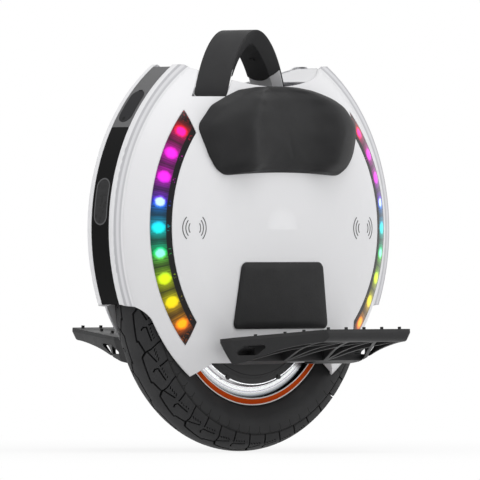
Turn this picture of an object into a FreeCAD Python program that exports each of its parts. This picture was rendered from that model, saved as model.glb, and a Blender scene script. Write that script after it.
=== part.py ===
import FreeCAD
import Part
import math
import os

# Electric unicycle, millimetres. +X is forward, +Y is the left side, +Z is up.
# The origin is on the ground under the middle of the wheel.

# Wheel
tyre_radius = 223.0
tyre_width = 76.0
tyre_wall = 7.0
tread_thickness = 13.0
tube_wall = 2.5
tyre_crown_drop = 10.0
tyre_shoulder_inset = 7.0
tyre_height = 63.4
rim_face_inset = 13.0
rim_flange_thickness = 2.5
rim_lip_height = 6.0
rim_well_depth = 7.0
rim_dish_width = 13.5
rim_dish_depth = 5.0
rim_depth = 25.6
rim_barrel_inset = 5.0
stripe_inset = 10.4
stripe_width = 10.0
stripe_thickness = 0.4
valve_radius = 3.0
valve_length = 9.0
valve_root_radius = 4.0
valve_root_depth = 5.0
fit_clearance = 0.3

# Hub motor
axle_radius = 8.0
axle_shoulder_radius = 15.0
bearing_outer_radius = 26.0
bearing_width = 12.0
bearing_running_gap = 0.12
cover_plate = 5.0
cover_boss_wall = 8.0
cover_rim_width = 11.0
cover_dome = 3.0
rotor_thickness = 7.0
rotor_half_width = 17.0
magnet_thickness = 4.0
magnet_count = 32
magnet_gap_angle = 1.5
air_gap = 0.8
stator_half_width = 13.0
stator_depth = 34.0
stator_yoke_width = 12.0
stator_web_half_width = 6.0
tooth_count = 36
tooth_width = 7.0
winding_height = 3.5
winding_inset = 4.0
cover_screw_count = 8
screw_head_radius = 3.2
screw_head_height = 2.0
screw_shank_radius = 1.6
cover_screw_length = 9.0
axle_end_length = 12.0
nut_width = 24.0
nut_height = 8.0

# Body
body_rise = 84.0
body_side_space = 39.0
body_margin = 48.0
flank_width = 91.0
panel_sag = 5.5
lip_width = 15.0
flank_step = 2.0
lip_half_width = 27.0
lip_round = 4.0
shell_wall = 3.0
spine_half_width = 16.7
seam_gap = 0.3
peak_drop = 44.0
peak_inset = 12.0
scoop_depth = 30.0
notch_reach = 9.0
notch_width = 53.0
notch_depth = 14.0
notch_lean = 37.0
bottom_drop = 184.0
bottom_half_length = 116.0
corner_half_length = 137.0
corner_drop = 17.0
arch_drop = 103.0
arch_round = 24.0
wheel_side_clearance = 3.0
wheel_top_clearance = 8.0
well_wall = 3.0
well_bottom_inset = 7.0
frame_band_thickness = 4.0
frame_web_thickness = 3.0
frame_web_margin = 10.0
panel_split_drop = 131.0
panel_top_drop = 47.0

# Lamps
lamp_length = 66.0
lamp_width = 26.0
lamp_rise = 38.5
lens_thickness = 2.0
led_rise = 2.6
led_width = 28.0
led_edge = 27.0
led_outer_angle = 45.0
led_inner_angle = 40.2
led_window_thickness = 2.0
led_row_inset = 9.5
led_count = 9
led_pitch_angle = 9.3
led_radius = 5.2
led_height = 1.0
led_board_thickness = 1.6

# Charge port and buttons
port_drop = 101.0
cover_length = 56.0
cover_width = 25.0
cover_thickness = 2.4
cover_roll_radius = 0.9
cover_roll_length = 6.0
port_radius = 9.5
port_bore_radius = 6.0
port_depth = 16.0
port_floor = 3.0
button_radius = 8.0
button_height = 9.0
button_stand = 2.5
button_travel = 1.5
button_wall = 2.0
button_space = 16.0

# Pads
upper_pad_drop = 75.0
upper_pad_height = 122.0
upper_pad_end_stand = -7.0
upper_pad_ridge_stand = 37.0
upper_pad_ridge_share = 0.57
upper_pad_saddle_stand = 19.0
upper_pad_rows = (
    (0.0, 113.0, 5.0),
    (0.13, 133.0, 29.0),
    (0.48, 150.0, 37.0),
    (0.71, 133.0, 30.0),
    (0.88, 97.0, 18.0),
    (1.0, 48.0, -3.0),
)
lower_pad_drop = 137.0
lower_pad_height = 92.0
lower_pad_top_half_length = 78.0
lower_pad_bottom_half_length = 92.0
lower_pad_corner = 9.0
lower_pad_stand = 1.0
lower_pad_crown = 1.2
pad_clearance = 0.3

# Pedals
pivot_stand = 22.5
pivot_drop = 84.5
pedal_tilt = 5.1
pedal_length = 146.0
pedal_heel = 17.0
pedal_top = 19.0
pedal_under = (
    (-0.055, -16.4),
    (0.128, -14.4),
    (0.253, -10.5),
    (0.425, -4.3),
    (0.596, -0.4),
    (0.774, 2.0),
    (0.918, 2.4),
)
pedal_edge = 5.0
pedal_nose = 10.0
pedal_side_slope = 20.0
pedal_half_width = 131.0
pedal_tip_half_width = 84.0
pedal_shoulder = 12.0
pedal_corner = 9.0
pedal_plate = 4.5
pedal_rib = 5.0
pocket_start = 18.0
pocket_end_margin = 14.0
pocket_margin = 11.0
pocket_bays = 3
window_depth = 34.0
window_corners = ((4.0, -4.5), (25.0, 6.5), (62.0, 6.0), (36.0, -7.0))
slot_width = 5.0
slot_shares = (0.34, 0.55, 0.74)
slot_reach = 0.62
stud_radius = 2.3
stud_height = 3.6
stud_shares = ((0.165, 0.77), (0.45, 0.73), (0.65, 0.73), (0.94, 0.8))
stud_counts = (4, 4, 4, 5)
pin_radius = 5.0
pin_gap = 0.25
ear_width = 20.0
knuckle_radius = 13.0
knuckle_half_width = 27.0
knuckle_gap = 0.7
hanger_half_width = 27.0
hanger_thickness = 16.0
hanger_rise = 27.0
hanger_foot = 28.0
hanger_slot_margin = 5.0
hanger_bolt_radius = 2.6
hanger_bolt_head_radius = 4.2
hanger_bolt_spread = 17.0
hanger_bolt_drop = 37.0

# Handle
handle_rise = 5.5
handle_half_width = 31.8
handle_depth = 20.0
handle_foot_depth = 11.0
handle_edge = 1.5
handle_slant = 10.5
handle_path = (
    (0.0, 0.0),
    (12.0, 0.033),
    (23.4, 0.125),
    (31.5, 0.226),
    (38.2, 0.338),
    (45.2, 0.49),
    (50.5, 0.64),
    (54.7, 0.78),
    (58.0, 0.95),
    (59.5, 1.08),
)
post_height = 27.5
grip_end_rise = 15.0
core_inset = 1.5
yoke_drop = 4.0
yoke_thickness = 9.0
yoke_margin = 5.0
mast_place = 60.0
mast_width = 18.0
mast_thickness = 6.0
mast_drop = 73.0
mast_clearance = 0.4
sleeve_wall = 1.2
sleeve_top_gap = 3.0
release_station = 5
release_length = 10.0
release_width = 4.5
release_depth = 5.0
release_travel = 1.2
release_proud = 1.4
tray_wall = 3.0
tray_end_rise = 2.0
tray_gap = 0.5

# Inside the body
battery_drop = 49.0
battery_clearance = 2.0
battery_margin = 18.0
battery_gap = 26.0
battery_foot = 12.0
speaker_inset = 36.0
speaker_radius = 19.0
speaker_depth = 11.0
boss_radius = 5.0
boss_upper_angle = 61.0
boss_inset = 7.5
boss_lower_place = 80.0
boss_lower_drop = 9.0
electronics_angle = 52.0
board_length = 84.0
board_width = 60.0
board_case_height = 20.0
board_rib = 3.0
sink_length = 72.0
sink_width = 56.0
sink_base = 5.0
fin_count = 9
fin_height = 16.0
fin_thickness = 1.6
fan_size = 50.0
fan_depth = 12.0
fan_wall = 2.0
fan_hub_radius = 10.0
blade_count = 7
blade_thickness = 1.6
blade_pitch = 35.0
fan_shaft_radius = 2.0
lead_radius = 4.0
lead_bend_share = 0.45
lead_stand = 16.0
lead_route = (
    (0.0, 0.0, 0.1325),
    (0.0, 1.0, 0.4658),
    (0.0, 0.0, 0.7906),
    (0.094, 2.0, 0.9274),
    (0.2393, 16.0, 1.0128),
    (0.3803, 38.0, 1.0278),
    (0.5, 38.0, 0.9342),
)

# Values worked out from the sizes above
rim_flange_radius = tyre_radius - tyre_height
rim_face_half_width = tyre_width / 2 - rim_face_inset
rim_barrel_radius = rim_flange_radius - rim_depth
rim_barrel_half_width = rim_face_half_width - rim_barrel_inset
stripe_inner_radius = rim_flange_radius - stripe_inset
stator_yoke_radius = rim_barrel_radius - stator_depth
well_half_width = tyre_width / 2 + wheel_side_clearance
well_outer_half_width = well_half_width + well_wall
well_radius = tyre_radius + wheel_top_clearance
well_outer_radius = well_radius + well_wall
body_centre_height = tyre_radius + body_rise
body_rim_radius = tyre_radius + body_margin
body_half_width = well_outer_half_width + body_side_space
rim_top = body_centre_height + body_rim_radius
far = 2.0 * rim_top
flank_radius = body_rim_radius - lip_width
flank_half_width = lip_half_width + flank_step
panel_radius = flank_radius - flank_width
crown_arc = (panel_radius ** 2 + panel_sag ** 2) / (2 * panel_sag)
panel_depth = body_half_width - panel_sag
panel_lean = math.asin(panel_radius / crown_arc)
flank_run = flank_radius - panel_radius
flank_drop = panel_depth - flank_half_width
flank_turn = flank_drop * math.cos(panel_lean) - flank_run * math.sin(panel_lean)
flank_arc = (flank_run ** 2 + flank_drop ** 2) / (2 * flank_turn)
flank_centre_radius = panel_radius - flank_arc * math.sin(panel_lean)
flank_centre_depth = panel_depth - flank_arc * math.cos(panel_lean)
flank_end_lean = math.asin((flank_radius - flank_centre_radius) / flank_arc)
cavity_offset = shell_wall + fit_clearance
band_outer = body_rim_radius - cavity_offset
band_inner = band_outer - frame_band_thickness
band_half_width = lip_half_width - cavity_offset - lip_round - fit_clearance
spine_inner = band_outer + fit_clearance
peak_height = rim_top - peak_drop
peak_half_length = math.sqrt(body_rim_radius ** 2 - (body_rim_radius - peak_drop) ** 2) - peak_inset
scoop_height = peak_height - scoop_depth
notch_front = peak_half_length + notch_reach
notch_rear = notch_front - notch_width
notch_height = scoop_height - notch_depth
bottom_height = body_centre_height - bottom_drop
corner_height = bottom_height - corner_drop
arch_height = body_centre_height - arch_drop
well_bottom_height = bottom_height + well_bottom_inset
board_turn = math.radians(electronics_angle)
board_seat = well_outer_radius + fit_clearance
board_low = board_seat * math.sin(board_turn) - board_length / 2 * math.cos(board_turn)
frame_web_top = tyre_radius + board_low - frame_web_margin
panel_split_height = rim_top - panel_split_drop
panel_top_height = rim_top - panel_top_drop
led_centre_height = body_centre_height + led_rise
led_outer_radius = flank_radius - led_edge
led_inner_radius = led_outer_radius - led_width
led_row_radius = led_outer_radius - led_row_inset
upper_pad_top = rim_top - upper_pad_drop
upper_pad_bottom = upper_pad_top - upper_pad_height
lower_pad_bottom = body_centre_height - lower_pad_drop
lower_pad_top = lower_pad_bottom + lower_pad_height
lower_pad_depth = body_half_width + lower_pad_stand
pivot_place = body_half_width + pivot_stand
pivot_height = tyre_radius - pivot_drop
pocket_end = pedal_length - pocket_end_margin
handle_apex = rim_top + handle_rise
yoke_top = notch_height - yoke_drop
yoke_half_length = mast_place + mast_width / 2 + yoke_margin
grip_end_height = yoke_top + post_height
mast_bottom = tyre_radius - mast_drop
button_place = -yoke_half_length - button_space
speaker_place = led_inner_radius - speaker_inset
boss_reach = well_outer_radius - boss_inset
boss_upper_place = boss_reach * math.cos(math.radians(boss_upper_angle))
boss_upper_height = tyre_radius + boss_reach * math.sin(math.radians(boss_upper_angle))
boss_lower_height = tyre_radius - boss_lower_drop
battery_end = speaker_place - speaker_radius - battery_margin
battery_bottom = body_centre_height - battery_drop
battery_top = boss_upper_height - boss_radius - battery_clearance
sleeve_inner_face = well_outer_half_width + fit_clearance
sleeve_thickness = mast_thickness + 2 * (mast_clearance + sleeve_wall)
sleeve_width = mast_width + 2 * (mast_clearance + sleeve_wall)
mast_depth = sleeve_inner_face + sleeve_thickness / 2
battery_inner_face = sleeve_inner_face + sleeve_thickness + fit_clearance
hanger_inner_face = well_outer_half_width
hanger_outer_face = hanger_inner_face + hanger_thickness
bearing_face = rim_barrel_half_width - cover_plate
yoke_half_width = mast_depth + mast_thickness
yoke_bottom = yoke_top - yoke_thickness

os.makedirs("parts", exist_ok=True)


def side(x, z):
    return FreeCAD.Vector(x, 0, z)


def end(y, z):
    return FreeCAD.Vector(0, y, z)


def plan(x, y):
    return FreeCAD.Vector(x, y, 0)


def outline(place, start, legs):
    # Each leg is an end point, or a middle point and an end point for an arc.
    edges = []
    last = place(*start)
    for leg in legs:
        points = [place(*point) for point in leg]
        if len(points) == 1:
            edges.append(Part.LineSegment(last, points[0]).toShape())
        else:
            edges.append(Part.Arc(last, points[0], points[1]).toShape())
        last = points[-1]
    return Part.Wire(edges)


def polygon(place, points):
    return outline(place, points[0], [(point,) for point in points[1:] + points[:1]])


def rounded(place, points, radius):
    # A polygon with every corner rounded.
    corners = []
    for index, point in enumerate(points):
        before = FreeCAD.Vector(*points[index - 1], 0)
        here = FreeCAD.Vector(*point, 0)
        after = FreeCAD.Vector(*points[(index + 1) % len(points)], 0)
        back = (before - here).normalize()
        ahead = (after - here).normalize()
        half = back.getAngle(ahead) / 2
        cut = radius / math.tan(half)
        middle = here + (back + ahead).normalize() * (radius / math.sin(half) - radius)
        corners.append([(p.x, p.y) for p in (here + back * cut, middle, here + ahead * cut)])
    legs = [corners[0][1:]]
    for corner in corners[1:]:
        legs.append(corner[:1])
        legs.append(corner[1:])
    legs.append(corners[0][:1])
    return outline(place, corners[0][0], legs)


def prism(wire, shift, run):
    face = Part.Face(wire)
    face.translate(shift)
    return face.extrude(run)


def side_prism(wire, low, high):
    return prism(wire, FreeCAD.Vector(0, low, 0), FreeCAD.Vector(0, high - low, 0))


def end_prism(wire, low, high):
    return prism(wire, FreeCAD.Vector(low, 0, 0), FreeCAD.Vector(high - low, 0, 0))


def plan_prism(wire, low, high):
    return prism(wire, FreeCAD.Vector(0, 0, low), FreeCAD.Vector(0, 0, high - low))


def block(x, y, z):
    return Part.makeBox(x[1] - x[0], y[1] - y[0], z[1] - z[0], FreeCAD.Vector(x[0], y[0], z[0]))


def rod(radius, start, run):
    return Part.makeCylinder(radius, run.Length, start, run)


def turned(wire, height):
    # The wire lies in the plan plane as radius and side distance.
    face = Part.Face(wire)
    face.translate(FreeCAD.Vector(0, 0, height))
    return face.revolve(FreeCAD.Vector(0, 0, height), FreeCAD.Vector(0, 1, 0), 360)


def ring(inner, outer, low, high, height):
    return turned(polygon(plan, [(inner, low), (outer, low), (outer, high), (inner, high)]), height)


def disc(radius, low, high, height):
    return rod(radius, FreeCAD.Vector(0, low, height), FreeCAD.Vector(0, high - low, 0))


def flipped(shape):
    return shape.mirror(FreeCAD.Vector(0, 0, 0), FreeCAD.Vector(0, 1, 0))


def reversed_end(shape):
    return shape.mirror(FreeCAD.Vector(0, 0, 0), FreeCAD.Vector(1, 0, 0))


def both_sides(shape):
    return [shape, flipped(shape)]


def turned_about_axle(shape, angle):
    copy = shape.copy()
    copy.rotate(FreeCAD.Vector(0, 0, tyre_radius), FreeCAD.Vector(0, 1, 0), angle)
    return copy


def save(name, shapes):
    solids = []
    for shape in shapes:
        solids.extend(shape.Solids)
    whole = solids[0] if len(solids) == 1 else Part.makeCompound(solids)
    print(name, len(solids), round(whole.Volume), whole.isValid())
    whole.exportStep("parts/" + name + ".step")


def body_half(offset):
    # The left half of the body as a turned solid, drawn in by the offset.
    def on_flank(lean):
        reach = flank_arc - offset
        return (flank_centre_radius + reach * math.sin(lean), flank_centre_depth + reach * math.cos(lean))

    crown_mid = (panel_radius + offset) / 2
    crown_reach = crown_arc - offset
    crown_centre = body_half_width - crown_arc
    crown_middle = (crown_mid, crown_centre + math.sqrt(crown_reach ** 2 - crown_mid ** 2))
    rim = body_rim_radius - offset
    lip = lip_half_width - offset
    bend = lip_round * math.sqrt(0.5)
    wire = outline(
        plan,
        (0, 0),
        [
            [(0, body_half_width - offset)],
            [crown_middle, on_flank(panel_lean)],
            [on_flank((panel_lean + flank_end_lean) / 2), on_flank(flank_end_lean)],
            [(rim - lip_round, lip)],
            [(rim - lip_round + bend, lip - lip_round + bend), (rim, lip - lip_round)],
            [(rim, 0)],
            [(0, 0)],
        ],
    )
    return turned(wire, body_centre_height)


def make_wheel():
    crown = tyre_radius - tyre_crown_drop
    half = tyre_width / 2
    shoulder = half - tyre_shoulder_inset
    seat = rim_flange_radius - rim_lip_height
    bead_outer = rim_face_half_width - rim_flange_thickness - fit_clearance
    bead_inner = bead_outer - tyre_wall
    widest = (crown + rim_flange_radius) / 2
    liner = tyre_radius - tread_thickness
    tyre = turned(
        outline(
            plan,
            (seat + fit_clearance, bead_outer),
            [
                [(rim_flange_radius + fit_clearance, bead_outer)],
                [(rim_flange_radius + tyre_wall, half - tyre_shoulder_inset)],
                [(widest, half), (crown, shoulder)],
                [(tyre_radius, 0), (crown, -shoulder)],
                [(widest, -half), (rim_flange_radius + tyre_wall, tyre_shoulder_inset - half)],
                [(rim_flange_radius + fit_clearance, -bead_outer)],
                [(seat + fit_clearance, -bead_outer)],
                [(seat + fit_clearance, -bead_inner)],
                [(widest, tyre_wall - half), (liner, tyre_wall - shoulder)],
                [(liner, shoulder - tyre_wall)],
                [(widest, half - tyre_wall), (seat + fit_clearance, bead_inner)],
                [(seat + fit_clearance, bead_outer)],
            ],
        ),
        tyre_radius,
    )
    save("tyre", [tyre])

    tube_half = bead_inner - fit_clearance
    tube_low = seat + fit_clearance
    tube_high = liner - fit_clearance
    tube_middle = (tube_low + tube_high) / 2

    def tube(inset):
        low = tube_low + inset
        high = tube_high - inset
        half_width = tube_half - inset
        legs = [[(tube_middle, half_width), (high, 0)], [(tube_middle, -half_width), (low, 0)]]
        return turned(outline(plan, (low, 0), legs), tyre_radius)

    save("inner_tube", [tube(0).cut(tube(tube_wall))])

    dish = rim_barrel_radius + rim_dish_width
    groove = seat - rim_well_depth
    profile = [
        (rim_barrel_radius, rim_barrel_half_width),
        (dish, rim_face_half_width - rim_dish_depth),
        (dish + rim_dish_depth / 4, rim_face_half_width),
        (rim_flange_radius, rim_face_half_width),
        (rim_flange_radius, rim_face_half_width - rim_flange_thickness),
        (seat, rim_face_half_width - rim_flange_thickness),
        (seat, bead_inner),
        (groove, bead_inner - rim_well_depth),
    ]
    rim = turned(polygon(plan, profile + [(r, -y) for r, y in reversed(profile)]), tyre_radius)
    valve_height = tyre_radius + rim_barrel_radius + rim_dish_width / 2
    valve_seat = FreeCAD.Vector(0, rim_barrel_half_width, valve_height)
    valve_root = rod(valve_root_radius, valve_seat, FreeCAD.Vector(0, -valve_root_depth, 0))
    save("rim", [rim.cut(valve_root)])
    valve = valve_root.fuse(rod(valve_radius, valve_seat, FreeCAD.Vector(0, valve_length, 0)))
    save("valve_stem", [valve])

    stripe_outer = stripe_inner_radius + stripe_width
    stripe_face = rim_face_half_width + stripe_thickness
    stripe = ring(stripe_inner_radius, stripe_outer, rim_face_half_width, stripe_face, tyre_radius)
    save("rim_stripes", both_sides(stripe))

    cover_outer = rim_barrel_radius - fit_clearance
    cover_face = rim_barrel_half_width + cover_plate
    boss = bearing_outer_radius + cover_boss_wall
    dome = cover_face + cover_dome
    step = cover_outer - cover_rim_width
    cover = turned(
        polygon(
            plan,
            [
                (bearing_outer_radius, bearing_face),
                (boss, bearing_face),
                (boss, rim_barrel_half_width),
                (cover_outer, rim_barrel_half_width),
                (cover_outer, cover_face - cover_plate / 2),
                (cover_outer - cover_plate / 2, cover_face),
                (step, cover_face),
                (step - cover_dome, dome),
                (bearing_outer_radius, dome),
            ],
        ),
        tyre_radius,
    )
    rotor_outer = rim_barrel_radius - fit_clearance
    rotor_inner = rotor_outer - rotor_thickness
    rotor = ring(rotor_inner, rotor_outer, -rotor_half_width, rotor_half_width, tyre_radius)
    screw_place = FreeCAD.Vector(rotor_outer - rotor_thickness / 2, cover_face, tyre_radius)
    head = rod(screw_head_radius, screw_place, FreeCAD.Vector(0, screw_head_height, 0))
    shank_run = FreeCAD.Vector(0, cover_face - cover_screw_length, 0) - FreeCAD.Vector(0, cover_face, 0)
    shank = rod(screw_shank_radius, screw_place, shank_run)
    hole = rod(screw_shank_radius + fit_clearance / 2, screw_place, shank_run)
    screws = []
    for index in range(cover_screw_count):
        angle = 360.0 * (index + 0.5) / cover_screw_count
        screws.extend(both_sides(turned_about_axle(head.fuse(shank), angle)))
        cover = cover.cut(turned_about_axle(hole, angle))
        for cutter in both_sides(turned_about_axle(hole, angle)):
            rotor = rotor.cut(cutter)
    save("motor_cover_left", [cover])
    save("motor_cover_right", [flipped(cover)])
    save("motor_cover_screws", screws)
    save("rotor_ring", [rotor])

    magnet_outer = rotor_inner - fit_clearance / 2
    magnet_inner = magnet_outer - magnet_thickness
    pitch = 360.0 / magnet_count
    profile = polygon(
        plan,
        [
            (magnet_inner, -stator_half_width),
            (magnet_outer, -stator_half_width),
            (magnet_outer, stator_half_width),
            (magnet_inner, stator_half_width),
        ],
    )
    face = Part.Face(profile)
    face.translate(FreeCAD.Vector(0, 0, tyre_radius))
    pole = face.revolve(FreeCAD.Vector(0, 0, tyre_radius), FreeCAD.Vector(0, 1, 0), pitch - magnet_gap_angle)
    save("rotor_magnets", [turned_about_axle(pole, pitch * index) for index in range(magnet_count)])

    bearing_inner = axle_shoulder_radius + bearing_running_gap
    bearing_end = bearing_face + bearing_width
    bearing = ring(bearing_inner, bearing_outer_radius, bearing_face, bearing_end, tyre_radius)
    save("hub_bearings", both_sides(bearing))

    tooth_tip = magnet_inner - air_gap
    hub = disc(axle_shoulder_radius, -bearing_end, bearing_end, tyre_radius)
    axle_half = hanger_outer_face + axle_end_length
    axle = hub.fuse(disc(axle_radius, -axle_half, axle_half, tyre_radius))
    save("axle", [axle])
    web_half = stator_web_half_width
    web = ring(axle_shoulder_radius, stator_yoke_radius, -web_half, web_half, tyre_radius)
    yoke_inner = stator_yoke_radius - stator_yoke_width
    core = web.fuse(ring(yoke_inner, stator_yoke_radius, -stator_half_width, stator_half_width, tyre_radius))
    tooth = block(
        (stator_yoke_radius - winding_inset, tooth_tip),
        (-stator_half_width, stator_half_width),
        (tyre_radius - tooth_width / 2, tyre_radius + tooth_width / 2),
    ).common(disc(tooth_tip, -stator_half_width, stator_half_width, tyre_radius))
    teeth = [turned_about_axle(tooth, 360.0 * index / tooth_count) for index in range(tooth_count)]
    save("stator_core", [core.multiFuse(teeth).removeSplitter()])
    winding = ring(
        stator_yoke_radius,
        tooth_tip - winding_inset,
        stator_half_width,
        stator_half_width + winding_height,
        tyre_radius,
    )
    save("stator_windings", both_sides(winding))


def bolt_places():
    places = []
    for x, z in ((boss_upper_place, boss_upper_height), (boss_lower_place, boss_lower_height)):
        places.extend([(x, z), (-x, z)])
    return places


def led_window(gap):
    # Side outline of the front window, drawn in by the gap.
    inner = led_inner_radius + gap
    outer = led_outer_radius - gap

    def at(radius, angle):
        turn = math.radians(angle)
        return (radius * math.cos(turn), led_centre_height + radius * math.sin(turn))

    top = led_outer_angle - math.degrees(gap / outer)
    low = led_inner_angle - math.degrees(gap / inner)
    legs = [
        [at(outer, 0), at(outer, top)],
        [at(inner, low)],
        [at(inner, 0), at(inner, -low)],
        [at(outer, -top)],
    ]
    return side_prism(outline(side, at(outer, -top), legs), 0, far)


def layer(outer_offset, inner_offset):
    return body_half(outer_offset).cut(body_half(inner_offset))


def tray_prism(drop, top):
    # The space above the tray's floor and end slopes, lowered by the drop.
    end_top = panel_top_height + tray_end_rise
    slope_end = math.sqrt(band_outer ** 2 - (panel_top_height - body_centre_height) ** 2)
    points = [
        (-slope_end, end_top - drop),
        (-peak_half_length, yoke_top - drop),
        (peak_half_length, yoke_top - drop),
        (slope_end, end_top - drop),
        (slope_end, top),
        (-slope_end, top),
    ]
    return side_prism(polygon(side, points), -far, far)


def make_body():
    centre = FreeCAD.Vector(0, 0, body_centre_height)
    shell = body_half(0).cut(body_half(shell_wall))
    shell = shell.common(block((-far, far), (spine_half_width + seam_gap, far), (0, far)))
    scoop = outline(
        side,
        (-far, far),
        [
            [(-far, peak_height)],
            [(-peak_half_length, peak_height)],
            [(0, scoop_height), (peak_half_length, peak_height)],
            [(far, peak_height)],
            [(far, far)],
            [(-far, far)],
        ],
    )
    shell = shell.cut(side_prism(scoop, 0, far))
    rise = peak_height - notch_height
    shift = rise * math.tan(math.radians(notch_lean))
    notch = [
        (notch_rear, notch_height),
        (notch_front, notch_height),
        (notch_front - shift, peak_height),
        (notch_rear - shift, peak_height),
    ]
    shell = shell.cut(side_prism(polygon(side, notch), 0, far))
    slope = (bottom_height - corner_height) / (corner_half_length - bottom_half_length)
    foot = corner_half_length + corner_height / slope
    skirt = [(-foot, 0), (-bottom_half_length, bottom_height), (bottom_half_length, bottom_height), (foot, 0)]
    skirt_space = side_prism(polygon(side, skirt), 0, far)
    floor = skirt_space.copy()
    floor.translate(FreeCAD.Vector(0, 0, shell_wall))
    floor = floor.cut(skirt_space).common(body_half(shell_wall / 2))
    floor = floor.cut(block((-far, far), (0, well_outer_half_width + fit_clearance), (0, far)))
    shell = shell.cut(skirt_space).fuse(floor).removeSplitter()
    bend = arch_round * (1 - math.sqrt(0.5))
    arch = outline(
        end,
        (-well_half_width, -far),
        [
            [(-well_half_width, arch_height - arch_round)],
            [(bend - well_half_width, arch_height - bend), (arch_round - well_half_width, arch_height)],
            [(well_half_width - arch_round, arch_height)],
            [(well_half_width - bend, arch_height - bend), (well_half_width, arch_height - arch_round)],
            [(well_half_width, -far)],
            [(-well_half_width, -far)],
        ],
    )
    arch = end_prism(arch, -far, far)
    shell = shell.cut(arch)
    window = led_window(0)
    shell = shell.cut(window).cut(reversed_end(window))
    slot_top = pivot_height + knuckle_radius + hanger_slot_margin
    slot_half = hanger_half_width + hanger_slot_margin
    shell = shell.cut(block((-slot_half, slot_half), (0, far), (0, slot_top)))
    for x, z in bolt_places():
        shell = shell.cut(rod(screw_shank_radius + fit_clearance, side(x, z), FreeCAD.Vector(0, far, 0)))
    save("shell_left", [shell])
    save("shell_right", [flipped(shell)])

    cavity = body_half(cavity_offset)
    plate = disc(well_outer_radius, well_half_width, well_outer_half_width, tyre_radius)
    crown = ring(well_radius, well_outer_radius, 0, well_outer_half_width, tyre_radius)
    half = crown.fuse(plate.cut(disc(axle_radius + fit_clearance, 0, far, tyre_radius)))
    half = half.common(cavity)
    for x, z in bolt_places():
        start = FreeCAD.Vector(x, well_half_width, z)
        half = half.fuse(rod(boss_radius, start, FreeCAD.Vector(0, far, 0)).common(cavity))
        half = half.cut(rod(screw_shank_radius + fit_clearance / 2, start, FreeCAD.Vector(0, far, 0)))
    for x in (-hanger_bolt_spread, hanger_bolt_spread):
        bolt_place = side(x, tyre_radius - hanger_bolt_drop)
        half = half.cut(rod(screw_head_radius, bolt_place, FreeCAD.Vector(0, far, 0)))
    half = half.cut(block((-far, far), (0, far), (0, well_bottom_height)))
    well = half.fuse(flipped(half)).cut(arch).removeSplitter()
    save("wheel_well", [well])

    tray_clear = tray_prism(tray_wall + tray_gap, far)
    band = ring(band_inner, band_outer, -band_half_width, band_half_width, body_centre_height)
    web_inner = band_half_width - frame_web_thickness
    web = disc(band_outer - frame_band_thickness / 2, web_inner, band_half_width, body_centre_height)
    web = web.cut(disc(well_outer_radius + fit_clearance, -far, far, tyre_radius))
    web = web.common(block((0, far), (-far, far), (arch_height + seam_gap, frame_web_top)))
    front = band.common(block((0, far), (-far, far), (arch_height + seam_gap, far))).cut(tray_clear)
    front = front.cut(block((0, peak_half_length), (-far, far), (0, far)))
    front = front.multiFuse(both_sides(web)).removeSplitter()
    port_turn = math.asin(1 - port_drop / body_rim_radius)
    outward = FreeCAD.Vector(math.cos(port_turn), 0, math.sin(port_turn))
    port_hole = rod(port_radius + fit_clearance / 2, centre, outward * far)
    save("front_frame", [front.cut(port_hole)])
    save("rear_frame", [reversed_end(front)])

    strip = ring(spine_inner, body_rim_radius, -spine_half_width, spine_half_width, body_centre_height)
    lamp_turn = math.asin(lamp_rise / body_rim_radius)
    lamp_hole = capsule(lamp_length, lamp_width, 0, lamp_turn)
    spine = strip.common(block((0, far), (-far, far), (arch_height, panel_split_height))).cut(lamp_hole)
    save("front_spine", [spine])
    save("rear_spine", [reversed_end(spine)])
    panel_low = panel_split_height + fit_clearance
    panel = strip.common(block((0, far), (-far, far), (panel_low, panel_top_height)))
    panel = panel.cut(tray_clear)
    save("rear_top_panel", [reversed_end(panel)])
    pocket_floor = body_rim_radius - cover_thickness
    outside = disc(far, -far, far, body_centre_height).cut(disc(pocket_floor, -far, far, body_centre_height))
    pocket = capsule(cover_length, cover_width, 0, port_turn).common(outside)
    cover_radius = body_rim_radius + fit_clearance
    cover_tip = cover_length / 2 - fit_clearance
    upward = FreeCAD.Vector(-math.sin(port_turn), 0, math.cos(port_turn))
    hinge = centre + upward * cover_tip + outward * math.sqrt(cover_radius ** 2 - cover_tip ** 2)
    roll_half = FreeCAD.Vector(0, cover_roll_length / 2, 0)
    roll = rod(cover_roll_radius, hinge - roll_half, roll_half * 2)
    space_half = roll_half + FreeCAD.Vector(0, fit_clearance, 0)
    roll_space = rod(cover_roll_radius + fit_clearance, hinge - space_half, space_half * 2)
    save("front_top_panel", [panel.cut(pocket).cut(port_hole).cut(roll_space)])

    cover_skin = ring(pocket_floor + fit_clearance, cover_radius, -far, far, body_centre_height)
    cover = capsule(cover_length, cover_width, fit_clearance, port_turn).common(cover_skin)
    save("charge_cover", [cover.fuse(roll).removeSplitter()])
    mouth = centre + outward * (pocket_floor - fit_clearance)
    port = rod(port_radius, mouth, outward * (0 - port_depth - port_floor))
    save("charge_port", [port.cut(rod(port_bore_radius, mouth, outward * -port_depth))])

    lens_skin = ring(body_rim_radius - lens_thickness, body_rim_radius, -far, far, body_centre_height)
    lens = capsule(lamp_length, lamp_width, fit_clearance, lamp_turn)
    save("headlight_lens", [lens.common(lens_skin)])
    save("tail_light_lens", [reversed_end(lens.common(lens_skin))])
    board_outer = body_rim_radius - lens_thickness - fit_clearance
    board_skin = ring(spine_inner, board_outer, -far, far, body_centre_height)
    save("lamp_boards", [lens.common(board_skin), reversed_end(lens.common(board_skin))])

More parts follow.
